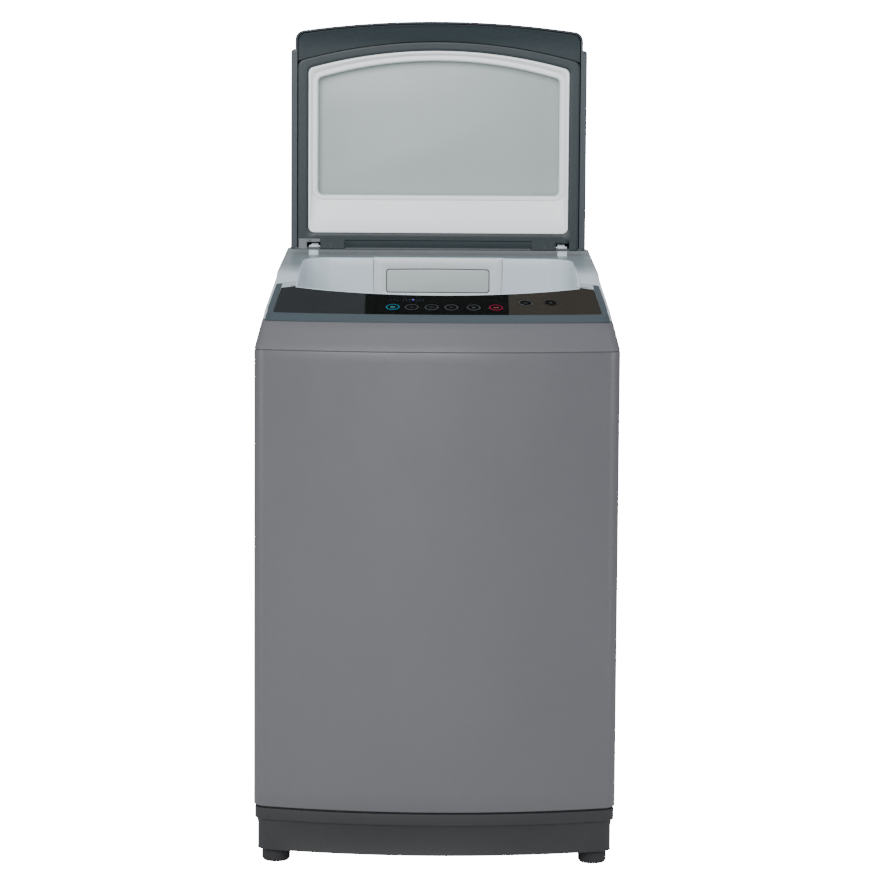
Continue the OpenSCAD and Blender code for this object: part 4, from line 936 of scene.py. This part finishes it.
def upright(outline, y):
    """An outline drawn in X and Z, standing at depth y."""
    return np.column_stack([outline[:, 0], np.full(len(outline), y), outline[:, 1]])


drawer_top = float(deck_at(147.0))


def drawer_edge(inset):
    """The drawer front's own outline, pulled in by inset."""
    return crowned(105.5 - inset, drawer_top - inset, 9000.0, max(2.5 - inset, 0.4), 855.3 + inset, 1.0)


def panel_edge(inset):
    """The sunk panel's outline, pulled in by inset."""
    return crowned(85.0 - inset, drawer_top - 18.0 - inset, 4000.0, 5.0 - inset * 0.5,
                   862.3 + inset, 5.0 - inset * 0.5)


stack = [upright(drawer_edge(0), 147.0), upright(drawer_edge(0), 141.2),
         upright(drawer_edge(0.4), 140.4), upright(drawer_edge(1.2), 140.0),
         upright(panel_edge(-0.6), 140.0), upright(panel_edge(-0.1), 140.25),
         upright(panel_edge(0), 141.5), upright(panel_edge(2.0), 141.5)]
piece("drawer_frame", skin(stack, caps=True), drawer_grey, "drawer", ["drawer_front"],
      crease=30)
# Painted shade: a dark strip fills the groove between the frame and the panel.
groove = [upright(panel_edge(0.05), 141.45), upright(panel_edge(0.05), 141.1),
          upright(panel_edge(1.8), 141.1), upright(panel_edge(1.8), 141.45)]
piece("drawer_groove_shade", skin(groove, caps=True), dark_plastic_and_painted_shade, "drawer", ())
stack = [upright(panel_edge(1.5), 141.48), upright(panel_edge(1.5), 140.7),
         upright(panel_edge(1.8), 140.45), upright(panel_edge(2.4), 140.35)]
piece("drawer_panel", skin(stack, caps=True), panel_green, "drawer", (), crease=30)

# %% [markdown]
# ## The lid
# The lid stands open, so its inner face is what is seen. From the outside in it has a rim that
# belongs to the outer shell, a dark inner shell, a white frame that slopes down to the window,
# and a pane of frosted glass. Above them is a handle flap that leans towards the user.

# %% Lid outlines


def lid_outline(inset):
    """The outer shell: square shoulders, and above them a narrower flap with a crowned top."""
    half, top = 243.3 - inset, 1260.025 - inset
    flap, low, r = 236.5 - inset, lid_low + inset, 1600.0 - inset
    corner = 16.0 - inset
    cu, centre_z = flap - corner, lid_tip - 1600.0
    cw = centre_z + math.sqrt((r - corner) ** 2 - cu * cu)
    turn = math.degrees(math.asin(cu / (r - corner)))
    right = np.vstack([arc((half - 3, low + 3), 3, -90, 0, 5), straight([half, low + 3], [half, top - 6], 16),
                       arc((half - 6, top - 6), 6, 0, 90, 9)[:-1],
                       [[flap + 0.4, top], [flap, top + 0.5]],
                       straight([flap, top + 0.5], [flap, cw], 4), arc((cu, cw), corner, 0, 90 - turn, 11)])
    crown = arc((0, centre_z), r, 90 - turn, 90 + turn, 61)[1:-1]
    left = right[::-1] * [-1, 1]
    return np.vstack([right, crown, left, straight(left[-1], right[0], 39)])


def white_outline(inset):
    """The white frame's outline, pulled in by inset."""
    return crowned(214.2 - inset, 1258.025 - inset, 788.0 - inset, 10.0 - inset, 959.025 + inset,
                   10.0 - inset)


def window_outline(grow):
    """The window's outline, grown by grow."""
    return crowned(199.0 + grow, 1242.025 + grow, 691.0 + grow, 8.0 + grow, 1021.5 - grow, 8.0 + grow)


print("lid outline", len(lid_outline(0)), "points; window", len(window_outline(0)))

# %% The outer shell
back_round = [(0.0, 203.0)] + [(9.0 * (1 - math.cos(a)), 206.0 + 9.0 * math.sin(a))
                               for a in np.radians([20, 40, 60, 80, 90])]


def rim_line(inset):
    """The rim's inner edge: the outline pulled in, and no wider than the flap's own sides."""
    ring = lid_outline(inset)
    return np.column_stack([np.clip(ring[:, 0], inset - 236.5, 236.5 - inset), ring[:, 1]])


shell_rings = [upright(rim_line(3.9), 211.0), upright(rim_line(3.9), 177.0),
               upright(rim_line(3.4), 176.2), upright(lid_outline(0.9), 176.0),
               upright(lid_outline(0.2), 176.6), upright(lid_outline(0.0), 178.0),
               upright(lid_outline(0.0), 190.0)]
shell_rings += [upright(lid_outline(d), y) for d, y in back_round]
shell_rings += [upright(lid_outline(14.0), 215.0)]
glass_rim = [(4.0, 214.95), (2.6, 214.6), (2.1, 213.6), (2.0, 211.0)]


def by_angle(outline, like, middle):
    """The outline read off where rays from middle through each point of like cross it."""
    global centre
    kept, centre = centre, np.asarray(middle, float)
    d = like - centre
    found = at_angles(outline, np.arctan2(d[:, 1], d[:, 0]))
    centre = kept
    return found


middle = (0.0, 1120.0)
outer_like = lid_outline(14.0)
shell_rings += [upright(by_angle(window_outline(d), outer_like, middle), y) for d, y in glass_rim]
piece("lid_shell", skin(shell_rings, wrap_rows=True), lid_edge, "lid",
      ["lid_outer_shell"], crease=35)

# %% The inner shell, with its lower bar and hinge covers


def stepped(ring, inset, low, step, spread=1.0):
    """The outline with its lower edge redrawn: it steps up by step over both hinge bosses."""
    near, far = (194.8 - inset) * spread, (216.2 + inset) * spread
    x = np.concatenate([[-far, -far, -near, -near], np.linspace(-near + 8, near - 8, 31),
                        [near, near, far, far]])
    z = np.full(len(x), low)
    z[[1, 2, -3, -2]] += step
    return np.vstack([ring[:127], np.column_stack([x, z])])


def inner_outline(inset):
    """The dark inner shell's outline, pulled in by inset."""
    ring = crowned(231.6 - inset, 1272.525 - inset, 836.0 - inset, 12.0 - inset, 931.6 + inset,
                   5.0 - min(inset, 4.0))
    return stepped(ring, inset, 931.6 + inset, 11.6)


def dip(x, z):
    """The long recess along the lid's lower edge, 2.5 mm deep between the hinge covers."""
    along = np.clip((156.0 - np.abs(x)) / 1.2, 0, 1)
    across = np.clip((947.0 - z) / 1.0, 0, 1)
    return 2.5 * along * across


def face_ring(flat, y):
    """A ring on the inner shell's face, sunk where the recess is."""
    return np.column_stack([flat[:, 0], y + dip(flat[:, 0], flat[:, 1]), flat[:, 1]])


hole = stepped(white_outline(-0.4), 0, 958.625, 0.0, 0.9)
edge0 = inner_outline(0)
inner_rings = [upright(edge0, 179.4), upright(edge0, 175.6), face_ring(inner_outline(0.4), 174.8),
               face_ring(inner_outline(1.4), 174.5)]
a, b = inner_outline(1.4), stepped(white_outline(-1.2), 0, 957.825, 0.0, 0.9)
lifted = a + (b - a) * 0.15
lifted[127:] = np.column_stack([a[127:, 0], np.full(len(a) - 127, 945.9)])
for t in (0.0, 0.1, 0.3, 0.6, 1.0):
    inner_rings.append(face_ring(lifted + (b - lifted) * t, 174.5))
inner_rings += [upright(hole, 174.9), upright(hole, 179.4)]
parts = [skin(inner_rings, wrap_rows=True)]
for side in (-1, 1):
    x0, x1 = sorted((side * 156.2, side * 186.4))
    parts.append(box((x0, 173.5, 932.6), (x1, 175.2, 947.5)))
    x0, x1 = sorted((side * 188.2, side * 193.8))
    parts.append(box((x0, 173.5, 932.6), (x1, 175.2, 947.5)))
    if side > 0:
        parts.append(box((216.8, 173.6, 932.8), (228.0, 175.2, 947.8)))
    knuckle = []
    for x0, x1 in ((186.0, 194.6), (216.4, 225.0)):
        x0, x1 = sorted((side * x0, side * x1))
        across = arc((hinge_y, hinge_z), 4.9, 0, 360, 33)[:-1]
        knuckle.append(skin([np.column_stack([np.full(32, x), across]) for x in (x0, x1)], caps=True))
        knuckle.append(box((x0, 175.6, hinge_z), (x1, hinge_y + 4.9, hinge_z + 15.5)))
    parts += knuckle
piece("lid_inner_face", joined(*parts), lid_dark, "lid", ["lid_inner_shell"],
      crease=28)
# Painted shade: dark blocks in the slots and gaps of the lid's lower bar.
slot_shade_bits = []
for side in (-1, 1):
    x0, x1 = sorted((side * 186.4, side * 188.2))
    slot_shade_bits.append(box((x0, 173.9, 932.8), (x1, 175.4, 946.6)))
    x0, x1 = sorted((side * 176.0, side * 178.6))
    slot_shade_bits.append(box((x0, 173.3, 933.6), (x1, 175.4, 941.0)))
    x0, x1 = sorted((side * 156.4, side * 155.0))
    slot_shade_bits.append(box((x0, 174.2, 932.6), (x1, 177.4, 947.2)))
piece("lid_slot_shade", joined(*slot_shade_bits), dark_plastic_and_painted_shade, "lid", ())

# %% The white frame and the glass
slope = [(0.0, 204.5), (0.0, 175.2), (0.5, 174.3), (1.4, 174.0), (3.2, 174.1)]
frame_rings = [upright(white_outline(d), y) for d, y in slope]
a, b = white_outline(3.2), window_outline(8.6)
for t in np.linspace(0.12, 1, 8):
    frame_rings.append(upright(a + (b - a) * t, 174.1 + 8.0 * t ** 1.6))
frame_rings += [upright(window_outline(8.0), 181.3), upright(window_outline(7.0), 180.9),
                upright(window_outline(2.2), 181.6), upright(window_outline(1.2), 182.6),
                upright(window_outline(0.3), 187.0),
                upright(window_outline(0.0), 204.5), upright(window_outline(2.5), 204.5)]
piece("lid_window_frame", skin(frame_rings, wrap_rows=True), frame_white, "lid",
      ["lid_inner_frame"], crease=35)

frosted = finish("frosted glass", "#a9b4b2", 0.32, fine=1800, depth=0.12, drift=0.01, dusty=0.0,
                 worn=0.0, smeared=0.06)
frosted.node_tree.nodes["Principled BSDF"].inputs["Transmission Weight"].default_value = 0.12
glass_rings = [upright(window_outline(d), y) for d, y in
               ((6.5, 206.2), (7.6, 206.5), (8.0, 207.2), (8.0, 209.8), (7.6, 210.5), (6.5, 210.8))]
piece("lid_pane", skin(glass_rings, caps=True), frosted, "lid", ["lid_glass"],
      crease=30)

# %% The handle flap


def flap_top(x):
    """The flap's top edge: the shell's outline pulled in by 5.2 mm, as a height at each x."""
    ring = lid_outline(5.2)
    top = ring[(ring[:, 1] > 1262.0)]
    order = np.argsort(top[:, 0])
    return np.interp(x, top[order, 0], top[order, 1])


def flap_low(x):
    """The arc that the flap grows out of, just above the inner shell's crown."""
    return 1273.525 - 836.0 + np.sqrt(836.0 ** 2 - x ** 2)


def lean(z):
    """How far forward the flap's face stands at height z."""
    return np.interp(z, [1226.0, 1262.0, 1272.0, 1290.0, 1306.0], [179.7, 176.6, 175.4, 167.8, 160.7])


edge_x = 231.2
x = np.concatenate([[-edge_x], -edge_x + 10 * (1 - np.cos(np.linspace(0.3, 1.5, 9))),
                    np.linspace(-219, 219, 61), edge_x - 10 * (1 - np.cos(np.linspace(1.5, 0.3, 9))),
                    [edge_x]])
low, high = flap_low(x), np.maximum(flap_top(x), flap_low(x) + 6)
flap_section = []
for t in (0.0, 0.15, 0.35, 0.6, 0.8, 0.93):
    z = low + (high - low) * t
    flap_section.append((lean(z) + 0.0, z))
for a in np.radians([25, 55, 90]):
    z0 = low + (high - low) * 0.93
    z = z0 + (high - z0) * math.sin(a)
    flap_section.append((lean(z0) - 1.0 + 3.5 * (1 - math.cos(a)), z))
flap_section += [(np.full(len(x), 186.0), high), (np.full(len(x), 205.0), high - 0.2),
                 (np.full(len(x), 205.0), high - 3.0), (np.full(len(x), 184.0), low + 2.0),
                 (np.full(len(x), 182.0), low)]
flap = np.stack([np.column_stack([x, y + 0 * x, z]) for y, z in flap_section])
piece("lid_handle_flap", swept(flap.transpose(1, 0, 2)), lid_dark, "lid", ["lid_handle"],
      crease=30)

# %% The damper's cover
piece("damper_plate", box((-229.8, 173.5, 943.6), (-194.6, 174.4, 949.0)), damper_grey, "lid",
      ["damper_cover"], bevel=0.3)
piece("damper_side", box((-229.8, 173.5, 932.0), (-216.6, 174.4, 944.0)), damper_grey, "lid", (),
      bevel=0.3)
screw_rings = [np.column_stack([-211.5 + r * np.cos(np.linspace(0, 2 * np.pi, 25)[:-1]),
                                np.full(24, y),
                                946.4 + r * np.sin(np.linspace(0, 2 * np.pi, 25)[:-1])])
               for r, y in ((1.2, 173.9), (1.2, 173.35), (0.8, 173.2), (0.4, 173.35))]
piece("damper_screw", skin(screw_rings, caps=True), dark_plastic_and_painted_shade, "lid", ())

# %% [markdown]
# ## The drum
# The wash basket is a stainless drum pressed into shallow upright waves and punched all over.
# The waves are real shape. The punched holes are far too many to cut one by one, so the finish
# draws them: black spots of painted shade, for the dark gap seen through each hole, spaced
# evenly round the drum by angle and height.

# %% Steel with punched holes


def holes_painted_shade(tree, where):
    """Holes on a staggered grid: u is the angle in steps of 3 degrees, v the height in steps
    of 12 mm. The distance to the nearest grid point, in cell widths, is small inside a hole.
    Inside each hole the steel is painted black: painted shade of the dark gap behind it."""
    part = node(tree, "SeparateXYZ", in_0=where)
    turn = maths(tree, "ARCTAN2", part.outputs[1], part.outputs[0])
    v = maths(tree, "MULTIPLY", part.outputs[2], 1 / 0.012)
    odd = maths(tree, "MULTIPLY", maths(tree, "MODULO", maths(tree, "FLOOR", v, 0), 2.0), 0.5)
    u = maths(tree, "ADD", maths(tree, "MULTIPLY", turn, 60 / math.pi), odd)
    du = maths(tree, "SUBTRACT", maths(tree, "FRACT", u, 0), 0.5)
    dv = maths(tree, "SUBTRACT", maths(tree, "FRACT", v, 0), 0.5)
    gap = maths(tree, "SQRT", maths(tree, "ADD", maths(tree, "MULTIPLY", du, du),
                                    maths(tree, "MULTIPLY", dv, dv)), 0)
    hole = ramp(tree, gap, 0.16, 0.13)
    inside = maths(tree, "MULTIPLY", ramp(tree, part.outputs[2], 0.345, 0.347),
                   ramp(tree, part.outputs[2], 0.692, 0.690))
    hole_shade = maths(tree, "MULTIPLY", hole, inside)
    return mix(tree, hole_shade, tint("#bfc2c4"), tint("#0d0e0f"))


# Stainless steel, with painted shade in its holes.
drum_steel = finish("punched stainless steel", "#bfc2c4", 0.3, metal=0.92, fine=1400, depth=0.08,
                    drift=0.03, dusty=0.0, worn=0.0, smeared=0.08, paint=holes_painted_shade)

# %% The drum's waved wall
turns = np.linspace(0, 2 * np.pi, 361)[:-1]


def wall_ring(r, z, depth):
    """A ring of radius r, pressed inwards by up to depth in 24 waves round the drum."""
    rr = r - depth * (0.5 - 0.5 * np.cos(24 * turns)) ** 2
    return np.column_stack([rr * np.cos(turns), rr * np.sin(turns), np.full(360, z)])


heights = np.linspace(301, 714, 28)
fade = np.clip(np.minimum(heights - 330, 700 - heights) / 40, 0, 1)
rings = [wall_ring(236.4, z, 1.6 * f) for z, f in zip(heights, fade)]
rings += [wall_ring(235.6, z, 1.6 * f) for z, f in zip(heights[::-1], fade[::-1])]
piece("drum_wall", skin(rings, wrap_rows=True), drum_steel, "basket", ["wash_basket"],
      crease=40)

# %% The balance ring and the tub's top ring


def rounded(corners, radius, steps=5):
    """A closed (r, z) profile with each corner cut by a small quadratic curve."""
    c = np.asarray(corners, float)
    a, b = np.roll(c, 1, axis=0), np.roll(c, -1, axis=0)
    la = np.linalg.norm(a - c, axis=1, keepdims=True)
    lb = np.linalg.norm(b - c, axis=1, keepdims=True)
    cut = np.minimum(radius, np.minimum(la, lb) * 0.45)
    p, q = c + (a - c) / la * cut, c + (b - c) / lb * cut
    t = np.linspace(0, 1, steps)[None, :, None]
    curve = p[:, None] * (1 - t) ** 2 + 2 * c[:, None] * t * (1 - t) + q[:, None] * t ** 2
    return curve.reshape(-1, 2)


ring_profile = rounded([[203.6, 719], [207.5, 715.4], [236.3, 715.4], [236.3, 743], [232.5, 746.8],
                        [226, 745], [216, 745], [207.5, 746.8], [203.6, 743]], 4.0)
piece("balance_ring_cap", turned(ring_profile, steps=180), ring_white, "basket", ["balance_ring"],
      crease=40)
top_profile = rounded([[205.6, 753.1], [205.6, 755.9], [252.9, 748.9], [252.9, 733.1], [250.3, 733.1],
                       [250.3, 745.0], [244.2, 745.1]], 1.2)
piece("tub_top_ring", turned(top_profile, steps=180), tub_white, "tub_unit", ["tub_ring"],
      crease=40)

# %% [markdown]
# ## The pulsator
# The disc in the bottom of the drum has six swept vanes. Its upper face is a height map in polar
# form: a dished profile of the radius, plus a rounded ridge along each vane. The ridge's angle
# drifts with the radius, which is what bends the vanes.

# %% The pulsator's disc
r = np.concatenate([np.linspace(8.8, 34, 9), np.linspace(40, 160, 31), [163, 164.8, 165.3]])
t = np.linspace(0, 2 * np.pi, 361)[:-1]
rr, tt = np.meshgrid(r, t, indexing="ij")
base_profile = np.interp(rr, [0, 9.5, 14, 34, 50, 125, 162, 165.4], [28.2, 28.4, 31, 29, 13.5, 8, 13.6, 12.5])
swing = 0.0022 * (rr - 30) * (rr - 30) / 30
phase = (tt * 6 / (2 * np.pi) + swing * 0.16) % 1.0 - 0.5
width = 6.5 / np.maximum(rr, 20) * 6 / (2 * np.pi)
ridge = np.exp(-(phase / (width * 1.25)) ** 2)
vane = np.interp(rr, [24, 36, 60, 116, 150, 158], [0, 12, 17, 11, 3, 0]) * ridge
top = np.stack([rr * np.cos(tt), rr * np.sin(tt), 309 + base_profile + vane], -1)
rim_r = np.array([165.4, 164.0, 152.0, 120.0, 60.0, 8.8])[:, None]
rim_z = np.array([321.0, 319.5, 309.4, 309.2, 309.2, 309.2])[:, None]
under = np.stack([rim_r * np.cos(t), rim_r * np.sin(t), rim_z + 0 * t], -1)
piece("pulsator_disc", skin(np.concatenate([top, under]), wrap_rows=True), pulsator_blue,
      "pulsator_unit", ["pulsator"], crease=50)

# %% [markdown]
# ## Springs and feet
# Four springs at the feet of the suspension rods carry the tub. Each is a wire swept along a
# helix, closed at both ends. The feet are ribbed rubber pads on threaded studs.

# %% A coil spring


def coil(middle, low, high, radius, wire, turns_up, steps=24, sides=8):
    """A round wire along a helix: centre (R cos a, R sin a, low + rise), with the wire's circle
    spanned by the outward direction and the upright one. Both ends close into dead coils."""
    a = np.linspace(0, 2 * np.pi * turns_up, int(steps * turns_up))
    s = a / a[-1]
    dead = 1.2 / turns_up
    rise = np.interp(s, [0, dead * .6, 1 - dead * .6, 1], [0, wire, high - low - 2 * wire, high - low - wire])
    z = low + wire / 2 + rise
    b = np.linspace(0, 2 * np.pi, sides, endpoint=False)
    out = radius + wire / 2 * np.cos(b)[None, :]
    x = middle[0] + out * np.cos(a)[:, None]
    y = middle[1] + out * np.sin(a)[:, None]
    return skin(np.stack([x, y, z[:, None] + wire / 2 * np.sin(b)[None, :]], -1), caps=True)


rod_places = [(-226.0, -212.0), (226.0, -212.0), (-226.0, 223.0), (226.0, 223.0)]
springs = piece("coil_springs", joined(*[coil(p, 287.2, 352.8, 8.4, 2.6, 7.5) for p in rod_places]),
                bare_steel, "cabinet", ["suspension_springs"], crease=60)

# %% The four feet


def foot(middle):
    """A pad with 40 shallow grip ribs round its side, and a threaded stud above it."""
    t = np.linspace(0, 2 * np.pi, 320, endpoint=False)
    rib = 0.55 * (0.5 + 0.5 * np.cos(40 * t))
    parts = []
    for r, z, ribbed in ((0.0, 0.0, 0), (17.5, 0.0, 0), (19.2, 0.3, 0), (21.5, 3.0, .6), (21.95, 4.2, 1),
                         (21.95, 17.0, 1), (21.5, 19.0, .5), (20.4, 21.0, 0), (18.0, 22.4, 0),
                         (17.0, 24.0, 0), (6.0, 24.0, 0), (4.9, 24.4, 0)):
        q = r - rib * ribbed
        parts.append(np.column_stack([middle[0] + q * np.cos(t), middle[1] + q * np.sin(t),
                                      np.full(320, z)]))
    pad = skin(parts + [parts[-1] * [1, 1, 0] + [0, 0, 72.0],
                        (parts[-1] - [*middle, 0]) * [0, 0, 0] + [*middle, 72.0]], caps=False)
    return pad


names = ["foot_front_left", "foot_front_right", "foot_rear_left", "foot_rear_right"]
for name, place in zip(names, foot_places):
    piece(f"{name}_pad", foot(place), rubber, name, [name], crease=50)

# %% [markdown]
# ## Parts that keep their CAD shape
# Brackets, pulleys, the motor, the rear panel and the rest are already the right shape. They
# only take their finishes, one for each material class.

# %% Finishes of the CAD parts
panel_steel = finish("panel steel", "#77787d", 0.4, metal=0.25, fine=1400, depth=0.15, drift=0.03,
                     dusty=0.05, worn=0.3)
dressed = {
    "rear_panel": panel_steel, "service_cover": panel_steel, "corner_brackets": bare_steel,
    "control_film": film_black, "control_board": board_green, "drawer_housing": drawer_grey,
    "inlet_valve": tub_white, "pressure_switch": tub_white, "drain_outlet": dark_plastic_and_painted_shade,
    "cord_gland": rubber, "lid_switch": tub_white, "case_screws": bare_steel, "lock_nuts": bare_steel,
    "suspension_rods": bare_steel, "outer_tub": tub_white, "tub_bracket": cast_metal,
    "gearcase": cast_metal, "drive_belt": rubber, "motor": motor_black, "drain_pump": dark_plastic_and_painted_shade,
    "drain_hose": rubber, "spring_cups": ring_white, "basket_hub": pulsator_blue,
    "lint_filters": filter_blue, "drive_shaft": bare_steel, "pulsator_screw": bare_steel,
    "input_pulley": cast_metal, "motor_pulley": cast_metal, "detergent_drawer": drawer_grey,
    "hinge_pins": bare_steel,
}
for name, material in dressed.items():
    mesh = nodes[name].data
    mesh.materials.clear()
    mesh.materials.append(material)
left = [n for n, o in nodes.items() if not o.hide_render and n not in dressed]
print(len(dressed), "CAD parts dressed; without a finish:", left)

# %% [markdown]
# ## The studio
# A pale floor, a pale surround, one large soft light above the camera and a weaker one on each
# side. Large lights give the long soft gradients that painted steel shows.

# %% Floor, surround and lights
mesh = bpy.data.meshes.new("floor")
span = 60.0
mesh.from_pydata([(-span, -span, 0), (span, -span, 0), (span, span, 0), (-span, span, 0)], [], [(0, 1, 2, 3)])
floor = bpy.data.objects.new("floor", mesh)
scene.collection.objects.link(floor)
floor_paint = bpy.data.materials.new("studio floor")
floor_paint.use_nodes = True
floor_shader = floor_paint.node_tree.nodes["Principled BSDF"]
floor_shader.inputs["Base Color"].default_value = tint("#f4f5f5")
floor_shader.inputs["Roughness"].default_value = 0.7
floor_shader.inputs["Emission Color"].default_value = (1, 1, 1, 1)
seen = node(floor_paint.node_tree, "LightPath").outputs["Is Camera Ray"]
floor_paint.node_tree.links.new(maths(floor_paint.node_tree, "MULTIPLY", seen, 22.0),
                                floor_shader.inputs["Emission Strength"])
mesh.materials.append(floor_paint)

world = bpy.data.worlds.new("surround")
world.use_nodes = True
world.node_tree.nodes["Background"].inputs["Color"].default_value = (0.94, 0.96, 1.0, 1)
seen = node(world.node_tree, "LightPath").outputs["Is Camera Ray"]
plus = maths(world.node_tree, "MULTIPLY", seen, 24.0)
world.node_tree.links.new(maths(world.node_tree, "ADD", plus, 0.5),
                          world.node_tree.nodes["Background"].inputs["Strength"])
scene.world = world


def softbox(name, place, target, size, power):
    """A large area light at place, aimed at target."""
    data = bpy.data.lights.new(name, "AREA")
    data.shape, data.size, data.size_y, data.energy = "RECTANGLE", size[0], size[1], power
    lamp = bpy.data.objects.new(name, data)
    lamp.location = place
    lamp.rotation_euler = (Vector(target) - Vector(place)).to_track_quat("-Z", "Y").to_euler()
    scene.collection.objects.link(lamp)
    return lamp


softbox("key", (-0.7, -4.2, 2.6), (0, 0, 0.8), (3.0, 2.2), 190)
softbox("left fill", (-3.4, -1.2, 1.6), (0, 0, 0.8), (1.4, 2.6), 36)
softbox("right fill", (3.4, -1.2, 1.6), (0, 0, 0.8), (1.4, 2.6), 36)
softbox("top", (0, 0.2, 3.6), (0, 0.1, 0.9), (2.2, 2.2), 12)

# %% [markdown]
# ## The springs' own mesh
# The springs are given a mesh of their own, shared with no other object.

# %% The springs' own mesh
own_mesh(springs)
